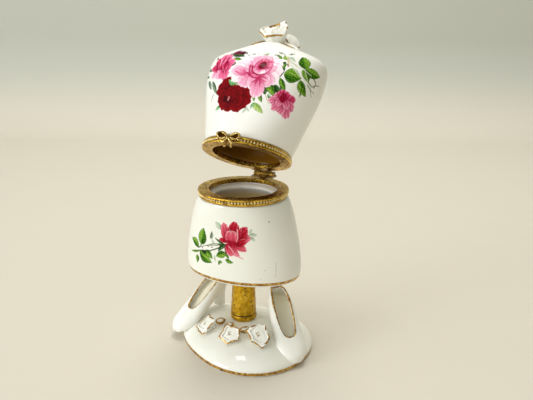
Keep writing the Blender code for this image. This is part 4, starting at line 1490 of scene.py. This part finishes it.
@dataclass
class Clasp:
    """The catch nib on the lower ring, and on the lid the tongue's cast ribbon bow with its sprig."""

    centre: Point = (0.0, -20.95, PARTING_Z + 1.3)
    nib_y: float = -19.3
    nib_z: float = 69.5
    nib_profile: Sequence[tuple[float, float]] = (
        (0.7, 0.0), (0.72, 0.5), (0.55, 0.85), (0.3, 1.05), (0.06, 1.1),
    )

    def loop(self, side: int) -> Skin:
        """A ribbon loop: a flat band round an oval that leans outwards, widest at its far end.

        Args:
            side: -1 for the left, 1 for the right.

        Returns:
            The loop's skin.
        """
        t = angles(72)
        x = 2.75 + 1.85 * np.cos(t)
        z = (1.15 + 0.25 * np.cos(t)) * np.sin(t) + 0.62 + 0.16 * (x - 2.7)
        y = 0.28 * np.sin(t) ** 2 - 0.15 * np.cos(t)
        path = np.stack([side * x, y, z], -1) + np.array(self.centre)
        skin = swept(path, (0.0, 1.0, 0.0), 0.58, 0.4 + 0.1 * np.cos(3 * t), 16, True, 3.0)
        skin.marks["recess"] = np.broadcast_to(0.35 * ease(np.cos(t * 5))[:, None], skin.points.shape[:2])
        return skin

    def web(self, side: int) -> Skin:
        """A thin sheet that fills a loop, marked recessed all over so that it is brown.

        Args:
            side: -1 for the left, 1 for the right.

        Returns:
            The web's skin.
        """
        x = np.linspace(1.05, 4.45, 24)
        path = np.stack([side * x, np.full_like(x, 0.1), 0.62 + 0.16 * (x - 2.7)], -1) + np.array(self.centre)
        tall = 1.1 * np.sqrt(np.maximum(1 - ((x - 2.75) / 1.8) ** 2, 0.02))
        skin = swept(path, (0.0, 0.0, 1.0), tall, 0.16, 16)
        skin.marks["recess"] = np.ones(skin.points.shape[:2])
        return skin

    def tail(self, side: int) -> Skin:
        """A ribbon tail that curls outwards and up to a point.

        Args:
            side: -1 for the left, 1 for the right.

        Returns:
            The tail's skin.
        """
        t = np.linspace(0, 1, 26)
        path = np.stack([side * (0.5 + 2.7 * t), -0.1 + 0.25 * t, -0.6 - 1.55 * np.sin(2.2 * t)], -1)
        tall, thick = 0.5 - 0.3 * t**2, 0.36 * (1 - t**3) + 0.1
        return swept(path + np.array(self.centre), (0.0, 1.0, 0.0), tall, thick, 14, power=3.0)

    def knot(self) -> Skin:
        """A puffed knot with upright ribs.

        Returns:
            The knot's skin.
        """
        lift = np.linspace(-0.97, 0.97, 26) * np.pi / 2
        angle = angles(40)
        ribs = 1 + 0.1 * np.cos(7 * angle)
        x = 1.15 * np.cos(lift)[:, None] ** 0.7 * np.cos(angle) * ribs
        y = 0.85 * np.cos(lift)[:, None] ** 0.7 * np.sin(angle) * ribs
        z = 1.15 * np.sin(lift)[:, None] * np.ones(40)
        recess = np.broadcast_to(ease(-np.cos(7 * angle))[None, :], z.shape)
        return Skin(np.stack([x, y, z + 0.1], -1) + np.array(self.centre), {"recess": recess * 0.9})

    def leaf(self, root: Sequence[float], tip: Sequence[float]) -> Skin:
        """A little cast leaf from root to tip.

        Args:
            root: Where it starts.
            tip: Where it ends.

        Returns:
            The leaf's skin.
        """
        t = np.linspace(0, 1, 18)
        path = np.outer(1 - t, root) + np.outer(t, tip) + np.array(self.centre)
        swell = np.sin(np.pi * t)
        return swept(path, (0.0, 1.0, 0.0), 0.3 + 0.1 * swell, 0.12 + 0.5 * swell**0.8, 12)

    def build(self, brass: bpy.types.Material) -> None:
        """Builds the bow and the nib.

        Args:
            brass: Their finish.
        """
        skins = [made(side) for made in (self.loop, self.web, self.tail) for side in (-1, 1)] + [self.knot()]
        for side in (-1, 1):
            skins.append(self.leaf((side * 0.8, 0.2, 0.9), (side * 3.3, 0.3, 2.35)))
            skins.append(self.leaf((side * 3.6, 0.2, -0.1), (side * 5.2, 0.3, -0.7)))
        make_piece("bow", skins, Body.LID, brass, ["clasp_bow"], 50)
        nib = turned(smooth_through(self.nib_profile, 14), 28, False).points
        laid = Skin(np.stack([nib[..., 0], self.nib_y - nib[..., 2], nib[..., 1] + self.nib_z], -1))
        make_piece("nib", [laid], Body.STAND, brass, ["catch_nib"])


# ---------------------------------------------------------------- applied flowers and leaves


def sheet_skin(sheet: Array, thickness: float, gold_width: float) -> Skin:
    """Thickens an open sheet into a closed skin with soft edges, gilt along its rim.

    Args:
        sheet: Points shaped rows, from root to rim, by columns across, by 3.
        thickness: Greatest thickness.
        gold_width: Width of the gold along the rim and the sides.

    Returns:
        The skin, its columns going over the front and back along the other face.
    """
    rows, columns = sheet.shape[:2]
    normal = np.cross(np.gradient(sheet, axis=0), np.gradient(sheet, axis=1))
    normal /= np.linalg.norm(normal, axis=2, keepdims=True) + 1e-9
    u = np.linspace(-1, 1, columns)
    v = np.linspace(0, 1, rows)
    over_width = np.sqrt(np.maximum(1 - np.abs(u) ** 6, 0.02))
    over_length = np.sqrt(np.maximum(1 - v**8, 0.04))
    half = (over_width[None, :] * over_length[:, None] * thickness / 2)[..., None] * normal
    across = np.linalg.norm(np.diff(sheet, axis=1), axis=2).sum(1)[:, None] / 2 * (1 - np.abs(u))
    along = np.linalg.norm(np.diff(sheet, axis=0), axis=2)
    to_rim = along.sum(0)[None, :] - np.vstack([np.zeros(columns), np.cumsum(along, 0)])
    gold = np.clip(1 - np.minimum(to_rim, across) / (2 * gold_width), 0, 1)
    points = np.concatenate([sheet + half, (sheet - half)[:, ::-1]], 1)
    return Skin(points, {"gilt": np.concatenate([gold, gold[:, ::-1] * 0.9], 1)})


@dataclass
class Rose:
    """A porcelain rose in one skin: a flared wall, a curled rim with corners, and a face of coiled petals.

    Attributes:
        name: The piece's name.
        node: The CAD node that it stands for.
        body: What it rides on.
        place: Where its foot stands.
        outward: Which way it faces.
        corners: The rim's corners, (right, up, rise), as seen from in front.
        depth: Height from foot to rim.
        foot: Its foot's size, as a share of the rim's.
        coil: Turns of the petals' edges from the rim to the heart.
        relief: Height of those edges.
        gold: How much of the rim is gilt.
        gold_width: Width of the gold on either side of the rim.
        heart_gold: Size of the gold in the heart, as a share of the rim's.
        coil_gold: How far the petals' edges are gilt.
        dish: How far the heart lies below the rim, as a share of the depth.
        seed: Varies the rose.
    """

    name: str
    node: str
    body: Body
    place: Point
    outward: Point
    corners: Sequence[Point]
    depth: float = 3.5
    foot: float = 0.55
    coil: float = 2.2
    relief: float = 0.55
    gold: float = 0.55
    gold_width: float = 0.5
    heart_gold: float = 0.07
    coil_gold: float = 0.0
    dish: float = 0.16
    seed: int = 0
    columns: int = 168
    wall_rows: int = 25
    lip_rows: int = 9
    face_rows: int = 90
    softenings: int = 12

    def rim(self) -> Array:
        """The rim's points, (x, y, rise), straight from corner to corner and then softened.

        Returns:
            One row for each column of the rose.
        """
        loop = np.array((*self.corners, self.corners[0]), float)
        gone = np.r_[0, np.cumsum(np.linalg.norm(np.diff(loop[:, :2], axis=0), axis=1))]
        at = np.linspace(0, gone[-1], self.columns, endpoint=False)
        points = np.stack([np.interp(at, gone, loop[:, i]) for i in range(3)], -1)
        for _ in range(self.softenings):
            points = (np.roll(points, 1, 0) + 2 * points + np.roll(points, -1, 0)) / 4
        return points

    def skin(self) -> Skin:
        """The rose about its own axis.

        The face's height is depth + rise q^2 - dish (1 - q^2) + relief f(frac(coil q^0.85 + angle / turn)),
        q being the distance from the axis as a share of the rim's. f climbs steeply and falls slowly, so that
        the petals overlap.

        Returns:
            The rose's skin.
        """
        rim = self.rim()
        angle = np.arctan2(rim[:, 1], rim[:, 0])
        v = np.linspace(0, 1, self.wall_rows + 1)[:-1, None]
        wavy = 1 + 0.05 * v * np.sin(5 * angle + self.seed) + 0.03 * v * np.sin(11 * angle + 2 * self.seed)
        wall_share = (self.foot + (1 - self.foot) * v**1.6) * wavy
        wall_high = (self.depth + rim[:, 2]) * (-0.3 * (1 - v) + v * (0.75 + 0.2 * v))
        t = np.linspace(0, 1, self.lip_rows)[:, None]
        lip_share = wavy[-1] + 0.07 * np.sin(np.pi * t) - 0.06 * t
        lip_high = self.depth + rim[:, 2] + self.depth * (-0.05 + 0.1 * t)
        q = np.linspace(0.93, 0.02, self.face_rows)[:, None]
        swirl = self.coil * q**0.85 + angle / TAU + 0.2 * np.sin(2 * angle + self.seed) * q
        part = swirl - np.floor(swirl)
        edge = ease(part / 0.16) * (1 - part) ** 0.8
        fade = np.minimum(1, (0.95 - q) / 0.16)
        high = self.depth * 1.05 + rim[:, 2] * q**2 - self.dish * self.depth * (1 - q**2)
        high = high + self.relief * fade * (edge - 0.3) + 0.1 * fade * np.sin(2 * angle + self.seed)
        share = np.concatenate([wall_share, lip_share, q * wavy[-1]])
        lift = np.concatenate([wall_high, lip_high, high])
        points = np.stack([share * rim[:, 0], share * rim[:, 1], lift], -1)
        gone = distance_down(points)
        off = np.abs(gone - gone[len(v) + self.lip_rows // 2])
        patches = ease(0.5 + 0.9 * ripple(points, 3.6, self.seed) + (self.gold - 0.5) * 2)
        gilt = np.clip(1 - off / (2 * self.gold_width), 0, 1) * patches
        face = np.zeros_like(gilt)
        line = np.clip(1.2 - np.abs(part - 0.14) / 0.1, 0, 1) * self.coil_gold * ease((0.8 - q) / 0.1)
        face[-len(q):] = np.maximum(line, np.clip((self.heart_gold - q) / 0.08 + 0.5, 0, 1))
        shade = np.zeros_like(gilt)
        shade[-len(q):] = 0.8 * np.clip(1 - part / 0.14, 0, 1) * fade
        return Skin(points, {"gilt": np.maximum(gilt, face), "shade": shade})

    def build(self, glaze: bpy.types.Material) -> None:
        """Builds the rose where its node is."""
        placed = posed(self.skin(), self.place, self.outward)
        make_piece(self.name, [placed], self.body, glaze, [self.node], 75)


@dataclass
class AppliedLeaf:
    """A porcelain leaf laid on the body, cupped along its rib, with a gold edge.

    Attributes:
        name: The piece's name.
        node: The CAD node that it stands for.
        body: What it rides on.
        root: Where it is joined on.
        tip: Its free end.
        outward: Which way its face looks.
        half_width: Greatest half width.
        cup: How far its sides rise.
        gold_width: Width of the gold along its edge.
        droop: How far its ends drop, as a share of half its length.
        thickness: Greatest thickness.
    """

    name: str
    node: str
    body: Body
    root: Point
    tip: Point
    outward: Point
    half_width: float
    cup: float = 0.5
    gold_width: float = 0.45
    droop: float = 0.12
    thickness: float = 0.6
    rows: int = 40
    columns: int = 21

    def build(self, glaze: bpy.types.Material) -> None:
        """Builds the leaf.

        Its half width is half_width * sin(pi v^0.85)^0.7 at a share v of its length. Its sides rise by
        cup u^2, u going from -1 to 1 across it, and its ends drop by droop (2 v - 1)^2 of half its length.

        Args:
            glaze: Its glaze.
        """
        root, tip, outward = (np.array(value) for value in (self.root, self.tip, self.outward))
        ahead = (tip - root) / np.linalg.norm(tip - root)
        side = np.cross(outward, ahead)
        side /= np.linalg.norm(side)
        v = np.linspace(0.015, 0.985, self.rows)[:, None]
        u = np.linspace(-1, 1, self.columns)[None, :]
        half = self.half_width * np.sin(np.pi * v**0.85) ** 0.7
        long = np.linalg.norm(tip - root)
        x = long * v + 0 * u
        y = half * u * (1 + 0.05 * np.sin(12 * v))
        z = self.cup * (u**2 - 0.3) * half / self.half_width - self.droop * long / 2 * (2 * v - 1) ** 2
        z = z + 0.05 * np.sin(14 * v + 3 * u)
        sheet = root + x[..., None] * ahead + y[..., None] * side + z[..., None] * np.cross(ahead, side)
        skin = sheet_skin(sheet, self.thickness, self.gold_width)
        make_piece(self.name, [skin], self.body, glaze, [self.node], 70)


# ---------------------------------------------------------------- shoes


@dataclass
class Shoe:
    """A porcelain court shoe: an upper round an oval opening, an insole, and a waisted heel.

    Attributes:
        name: The piece's name and its CAD node's.
        heel_at: Where the heel stands.
        heading: Direction of the toe in degrees.
        pitch: Lift of the toe in degrees.
        sections: Distance towards the toe, height of the sole, half width and height of the upper.
    """

    name: str
    heel_at: tuple[float, float]
    heading: float
    pitch: float
    sections: Sequence[tuple[float, ...]] = (
        (-3.95, 21.2, 0.0, 0.0), (-3.8, 19.6, 1.6, 3.4), (-2.8, 18.4, 3.4, 6.4), (0.0, 17.6, 4.8, 8.2),
        (4.0, 15.4, 5.4, 8.6), (8.0, 12.4, 5.8, 8.0), (12.0, 9.2, 6.1, 7.0), (16.0, 6.3, 6.4, 6.0),
        (19.0, 4.5, 6.3, 5.2), (22.0, 3.2, 5.3, 4.5), (24.2, 2.5, 3.5, 3.3), (25.1, 2.3, 1.8, 2.2),
        (25.4, 3.2, 0.0, 0.0),
    )
    heel_profile: Sequence[tuple[float, float]] = (
        (2.8, 8.9), (2.85, 10.0), (2.7, 12.0), (2.9, 14.5), (3.2, 16.6), (3.5, 18.0),
    )
    heel_foot_z: float = 9.8
    gold_width: float = 1.35
    opening_tilt: float = 112.0
    opening_front: float = 46.0
    opening_back: float = 43.0
    opening_side: float = 38.0
    wall: float = 0.95
    columns: int = 128

    def surface(self, direction: Array, inset: float) -> Array:
        """The point of the upper in a direction from its middle.

        The angle from the toe picks the section. The angle round it gives y = w sgn(c) |c|^0.8 and the height
        of a section that is rounded above and flatter below.

        Args:
            direction: Unit vectors, +X to the toe and +Z up.
            inset: How far inside the outer surface.

        Returns:
            Points in the shoe's own millimetres.
        """
        row = (len(self.sections) - 1) * (1 - np.arccos(np.clip(direction[..., 0], -1, 1)) / np.pi)
        rows = smooth_through(self.sections, row.ravel()).reshape(*row.shape, 4)
        along, sole, half, high = rows.transpose(2, 0, 1)
        flat = np.hypot(direction[..., 1], direction[..., 2]) + 1e-9
        c, s = direction[..., 1] / flat, direction[..., 2] / flat
        half, high = np.maximum(half, 0), np.maximum(high, 0)
        y = half * signed_power(c, 0.8)
        z = sole + 0.38 * high + np.where(s > 0, 0.62 * high * s, 0.38 * high * signed_power(s, 0.5))
        x = along
        if inset:
            middle = sole + 0.45 * high
            keep = np.clip(1 - inset / np.maximum(half, 0.5), 0, 1)
            y = y * keep
            z = middle + (z - middle) * np.clip(1 - 2 * inset / np.maximum(high, 1.2), 0, 1) + 0.15
            z = np.maximum(z, sole + 0.36 * high)
            x = 10.0 + (x - 10.0) * (1 - inset / 14.0)
        return np.stack([x, y, z], -1)

    def directions(self, share: Array) -> Array:
        """Unit vectors from straight below the opening, share 0, to the opening's edge, share 1.

        Args:
            share: Share of the way to the edge of each row.

        Returns:
            Unit vectors, rows by columns by 3.
        """
        tilt = math.radians(self.opening_tilt)
        up = np.array((math.cos(tilt), 0.0, math.sin(tilt)))
        toe = np.array((math.sin(tilt), 0.0, -math.cos(tilt)))
        turn = angles(self.columns)
        c, s = np.cos(turn), np.sin(turn)
        far = np.where(c > 0, self.opening_front, self.opening_back)
        power = 1.65 + 0.35 * c
        reach = (np.abs(c) / far) ** power + (np.abs(s) / self.opening_side) ** power
        edge = np.radians(reach ** (-1 / power))
        off = np.pi - share[:, None] * (np.pi - edge[None, :])
        side = c[:, None] * toe + s[:, None] * np.array((0.0, 1.0, 0.0))
        return np.cos(off)[..., None] * up + np.sin(off)[..., None] * side[None]

    def darker_heel(self) -> Array:
        """How far each column faces the heel, 0 to 1."""
        return 0.5 - 0.5 * np.cos(angles(self.columns))

    def upper(self) -> Skin:
        """The upper and insole in one skin: from the sole to the edge, over a lip, and down the inside.

        Returns:
            The upper's skin.
        """
        share = np.linspace(0.02, 1, 62)
        outside = self.surface(self.directions(share), 0.0)
        inside = self.surface(self.directions(share[::-1][::2]), self.wall)
        edge_out, edge_in = outside[-1], inside[0]
        turn = np.linspace(0, 1, 9)[1:-1, None, None]
        lip = edge_out + (edge_in - edge_out) * turn + np.array((-0.1, 0.0, 0.32)) * np.sin(np.pi * turn)
        points = np.concatenate([outside, lip, inside])
        gone = distance_down(points)
        off = np.abs(gone - gone[len(outside) + 2])
        patchy = 1 + 0.35 * ripple(points, 3.0, 8)
        rows = np.arange(len(points))[:, None] + np.zeros(self.columns)
        shade = ease((rows - len(outside) - 8) / 6) * 0.7 * self.darker_heel() ** 2
        return Skin(points, {"gilt": np.clip(1 - off / (self.gold_width * patchy), 0, 1), "shade": shade})

    def heel(self) -> Skin:
        """A waisted heel under the back of the sole.

        Returns:
            The heel's skin.
        """
        skin = turned(smooth_through(self.heel_profile, 40), 64, False)
        x, z = skin.points[..., 0], skin.points[..., 2]
        skin.points[..., 2] = z - 0.52 * x * ease((z - 9) / 9)
        skin.points[..., 0] = x * 0.95 - 0.002 * (19 - z) ** 2
        return skin

    def stand(self, skin: Skin) -> Skin:
        """Pitches the toe up about the heel's foot, turns the shoe to its heading and puts it in place.

        Args:
            skin: A skin in the shoe's own millimetres.

        Returns:
            The skin in its place.
        """
        heading = Matrix.Rotation(math.radians(self.heading), 3, "Z")
        turn = np.array(heading @ Matrix.Rotation(math.radians(-self.pitch), 3, "Y"))
        foot = np.array((0.0, 0.0, self.heel_foot_z))
        points = (skin.points - foot) @ turn.T + foot + np.array((*self.heel_at, 0.0))
        return Skin(points, skin.marks, skin.looped)

    def build(self, glaze: bpy.types.Material) -> None:
        """Builds the shoe."""
        made = [self.stand(skin) for skin in (self.upper(), self.heel())]
        make_piece(f"court_{self.name}", made, Body.STAND, glaze, [self.name], 70)


# ---------------------------------------------------------------- studio


@dataclass(frozen=True)
class Lamp:
    """A square soft light aimed at the object's middle.

    Attributes:
        name: The light's name.
        place: Where it hangs, in metres.
        size: Its side, in metres.
        power: Its power, in watts.
        colour: Its display colour.
        mirrored: Whether the glaze and the brass mirror it.
    """

    name: str
    place: Point
    size: float
    power: float
    colour: Colour
    mirrored: bool
    aim: Point = (0, 0, 0.07)

    def hang(self) -> None:
        """Adds the light to the scene."""
        lamp = bpy.data.lights.new(self.name, "AREA")
        lamp.size = self.size
        lamp.energy = self.power
        lamp.color = tuple(linear(self.colour))
        held = bpy.data.objects.new(self.name, lamp)
        held.location = self.place
        held.visible_glossy = self.mirrored
        held.rotation_mode = "QUATERNION"
        held.rotation_quaternion = (Vector(self.aim) - Vector(self.place)).to_track_quat("-Z", "Y")
        bpy.context.scene.collection.objects.link(held)


@dataclass
class Studio:
    """A pale floor that sweeps up behind, soft lights, and the camera."""

    lamps: Sequence[Lamp] = (
        Lamp("overhead", (-0.05, 0.3, 0.95), 0.4, 5.0, (255, 253, 250), False),
        Lamp("window", (-0.2, -0.08, 0.97), 0.19, 0.75, (250, 252, 255), True),
        Lamp("fill", (0.45, -1.0, 0.6), 0.4, 1.6, (255, 250, 236), False),
        Lamp("front", (-0.75, -0.9, 0.25), 0.5, 5.6, (246, 251, 255), True),
    )
    lens: float = 37.82
    azimuth: float = 21.5
    pitch: float = 17.2
    roll: float = -0.6
    ring_offset: Point = (-9.72, 5.35, 234.1)
    room_strength: float = 0.62
    room_towards: Point = (-0.62, -0.55, 0.56)
    room_stops: Sequence[tuple[float, Colour]] = (
        (0.0, (0.09, 0.08, 0.04)), (0.42, (0.30, 0.28, 0.18)), (0.72, (0.8, 0.8, 0.75)),
        (1.0, (1.5, 1.5, 1.46)),
    )

    def backdrop(self) -> None:
        """A sheet that runs flat under the object and curves up behind it."""
        turn = math.radians(self.azimuth)
        s = np.linspace(0, 1, 40)
        depth = np.r_[-2.0, 0.45 + 0.12 * np.sin(s * np.pi / 2), 0.57]
        height = np.r_[0.0, 0.12 * (1 - np.cos(s * np.pi / 2)), 1.6]
        side = np.array((-2.5, 2.5))
        x = side[None, :] * math.cos(turn) - depth[:, None] * math.sin(turn)
        y = side[None, :] * math.sin(turn) + depth[:, None] * math.cos(turn)
        points = np.stack([x, y, height[:, None] + 0 * x], -1).reshape(-1, 3)
        faces = [(2 * i, 2 * i + 1, 2 * i + 3, 2 * i + 2) for i in range(len(depth) - 1)]
        mesh = bpy.data.meshes.new("backdrop")
        mesh.from_pydata(points, [], faces)
        mesh.shade_smooth()
        shader = Shader("pale_paper", roughness=0.75)
        grain = shader.noise(30.0, 2.0)
        tone = shader.mix(grain * 0.25, shader.colour((214, 207, 192)), shader.colour((204, 198, 182)))
        height = shader.node("ShaderNodeSeparateXYZ", None, {"Vector": shader.place}).outputs["Z"]
        wall = shader.step(Socket(shader, height), 0.0, 0.09)
        mesh.materials.append(shader.close(base_color=shader.mix(wall, tone, shader.colour((190, 192, 182)))))
        sheet = bpy.data.objects.new("backdrop", mesh)
        bpy.context.scene.collection.objects.link(sheet)

    def camera(self) -> None:
        """The camera, placed from where the rings' middle lies in its view."""
        a, p, r = (math.radians(value) for value in (self.azimuth, self.pitch, self.roll))
        ahead = Vector((-math.sin(a), math.cos(a), 0.0))
        right, rise = Vector((math.cos(a), math.sin(a), 0.0)), Vector((0.0, 0.0, 1.0))
        forward = ahead * math.cos(p) - rise * math.sin(p)
        up = ahead * math.sin(p) + rise * math.cos(p)
        x, y, z = self.ring_offset
        place = Vector((0, 0, PARTING_Z)) - (right * x + up * y + forward * z)
        rolled_right = right * math.cos(r) - up * math.sin(r)
        rolled_up = right * math.sin(r) + up * math.cos(r)
        data = bpy.data.cameras.new("camera")
        data.lens = self.lens
        data.clip_start = 0.01
        camera = bpy.data.objects.new("camera", data)
        turn = Matrix((rolled_right, rolled_up, -forward)).transposed().to_4x4()
        camera.matrix_world = Matrix.Translation(place * MM) @ turn
        bpy.context.scene.collection.objects.link(camera)
        bpy.context.scene.camera = camera

    def room(self) -> None:
        """Soft light from all round: bright from the left and front, olive and dim from the other side."""
        world = bpy.data.worlds.new("room")
        bpy.context.scene.world = world
        world.use_nodes = True
        tree = world.node_tree
        place = tree.nodes.new("ShaderNodeTexCoord")
        facing = tree.nodes.new("ShaderNodeVectorMath")
        facing.operation = "DOT_PRODUCT"
        facing.inputs[1].default_value = Vector(self.room_towards).normalized()
        tree.links.new(place.outputs["Generated"], facing.inputs[0])
        ramp = tree.nodes.new("ShaderNodeValToRGB")
        set_stops(ramp.color_ramp, self.room_stops)
        halved = tree.nodes.new("ShaderNodeMapRange")
        halved.inputs["From Min"].default_value = -1.0
        tree.links.new(facing.outputs["Value"], halved.inputs["Value"])
        tree.links.new(halved.outputs["Result"], ramp.inputs["Fac"])
        tree.links.new(ramp.outputs["Color"], tree.nodes["Background"].inputs["Color"])
        tree.nodes["Background"].inputs["Strength"].default_value = self.room_strength

    def build(self) -> None:
        """Sets everything up."""
        self.backdrop()
        for lamp in self.lamps:
            lamp.hang()
        self.room()
        bpy.context.scene.view_settings.view_transform = "Standard"
        self.camera()


# ---------------------------------------------------------------- the whole box

BASE_ROSES = (
    ("left", (-11.2, -11.9, 8.9), (-0.3, -0.62, 0.72), 4,
     ((-1.4, 4.5, -0.3), (-3.9, -2.9, 0.1), (2.5, -4.7, -0.2), (3.9, 3.3, 0.2))),
    ("middle", (1.3, -15.6, 9.0), (0.05, -0.68, 0.72), 9,
     ((-2.5, 4.1, 0.1), (-4.4, -1.5, -0.3), (-0.3, -4.1, 0.1), (4.1, -1.8, -0.2), (4.3, 2.7, 0.2))),
    ("right", (12.5, -12.6, 9.4), (0.22, -0.62, 0.76), 14,
     ((-1.5, 4.6, 0.2), (-5.2, 2.0, -0.3), (-2.6, -3.0, 0.2), (1.6, -5.2, -0.3), (4.8, -2.0, 0.1),
      (2.8, 4.4, -0.1))),
)
BASE_LEAVES = (
    ("left", (-8.9, -10.2, 11.2), (-5.4, -7.4, 11.6), (0.2, -0.6, 0.8), 1.6),
    ("middle", (-3.4, -12.2, 11.0), (-0.6, -8.8, 11.6), (0.0, -0.6, 0.8), 1.5),
    ("right", (7.4, -9.8, 11.4), (3.2, -12.6, 10.8), (0.0, -0.6, 0.8), 1.5),
)
BUST_ROSE = Rose(
    "bust_rose", "neck_rose", Body.LID, (3.2, 0.4, 121.4), (-0.1, -0.76, 0.64),
    ((-7.2, 0.2, 0.2), (-2.6, -3.0, -1.6), (1.0, -4.4, -0.6), (5.4, -3.0, -1.4), (6.4, 1.6, 0.8),
     (4.2, 5.0, 1.8), (-1.6, 4.2, 0.4)),
    depth=7.8, foot=0.5, coil=1.8, relief=1.6, gold=0.7, gold_width=0.55, heart_gold=0.05, coil_gold=0.85,
    dish=-0.04, seed=21,
)
BUST_LEAVES = (
    ("left", (0.4, -3.2, 122.6), (-6.4, -6.8, 118.8), (-0.35, -0.5, 0.78), 2.5, 0.4),
    ("right", (5.2, -3.0, 122.6), (15.8, -5.2, 117.9), (0.3, -0.5, 0.8), 3.0, 0.5),
    ("back", (6.6, 1.4, 128.6), (12.4, 3.4, 123.4), (0.25, -0.75, 0.6), 3.3, -0.9),
)


def build_applied(glaze: bpy.types.Material) -> None:
    """Builds the roses and leaves on the base and on the neck.

    Args:
        glaze: Their glaze.
    """
    for name, place, outward, seed, corners in BASE_ROSES:
        Rose(
            f"base_rose_{name}", f"rose_{name}", Body.STAND, place, outward, corners,
            gold=0.72, gold_width=0.75, heart_gold=0.09, seed=seed,
        ).build(glaze)
    for name, *shape in BASE_LEAVES:
        AppliedLeaf(f"base_leaf_{name}", f"rose_leaf_{name}", Body.STAND, *shape, -0.7, 1.05).build(glaze)
    BUST_ROSE.build(glaze)
    for name, *shape in BUST_LEAVES:
        AppliedLeaf(f"bust_leaf_{name}", f"neck_leaf_{name}", Body.LID, *shape).build(glaze)


def dress_nodes(finishes: dict[str, bpy.types.Material]) -> None:
    """Gives CAD nodes that are shown as they are their finishes, by name.

    Args:
        finishes: A material for each node's name.
    """
    for node, finish in finishes.items():
        for place in bpy.data.objects[node].material_slots:
            place.material = finish
        LOG.info("%s: CAD node dressed", node)


def main() -> None:
    """Builds the whole trinket box."""
    logging.basicConfig(level=logging.INFO, format="%(message)s")
    painted = GlazeFinish("painted_glaze", painted=True).material()
    glaze = GlazeFinish("plain_glaze").material()
    brass = BrassFinish("ring_brass").material()
    cast = BrassFinish("cast_brass", (232, 204, 128), (128, 92, 30), grain=2100.0).material()
    gilt = GiltFinish("burnished_gilt").material()
    Bust().build(painted)
    SkirtCup().build(painted)
    Mound().build(painted)
    Post().build(gilt)
    # The beads' brass, paler than the rings': painted sheen standing for their highlights, over the rubbed
    # wear.
    wear_and_sheen = BrassFinish("bead_brass_sheen", (255, 240, 190), (240, 208, 124), satin=0.22).material()
    Bezels().build(brass, wear_and_sheen)
    Clasp().build(cast)
    build_applied(glaze)
    Shoe("shoe_left", (-17.5, 10.6), 244.5, 2.5, opening_front=42.0).build(glaze)
    Shoe("shoe_right", (13.9, 5.2), -50.0, 0.0).build(glaze)
    # A darker copy of the brass for the hinge's CAD nodes.
    dark = BrassFinish("darker_hinge_brass", (152, 120, 54), (86, 62, 22), satin=0.2).material()
    hinge = ("lower_hinge_leaf", "upper_hinge_leaf", "hinge_pin")
    dress_nodes({"clasp_tongue": cast, **{node: dark for node in hinge}})
    Studio().build()


if __name__ == "__main__":
    main()
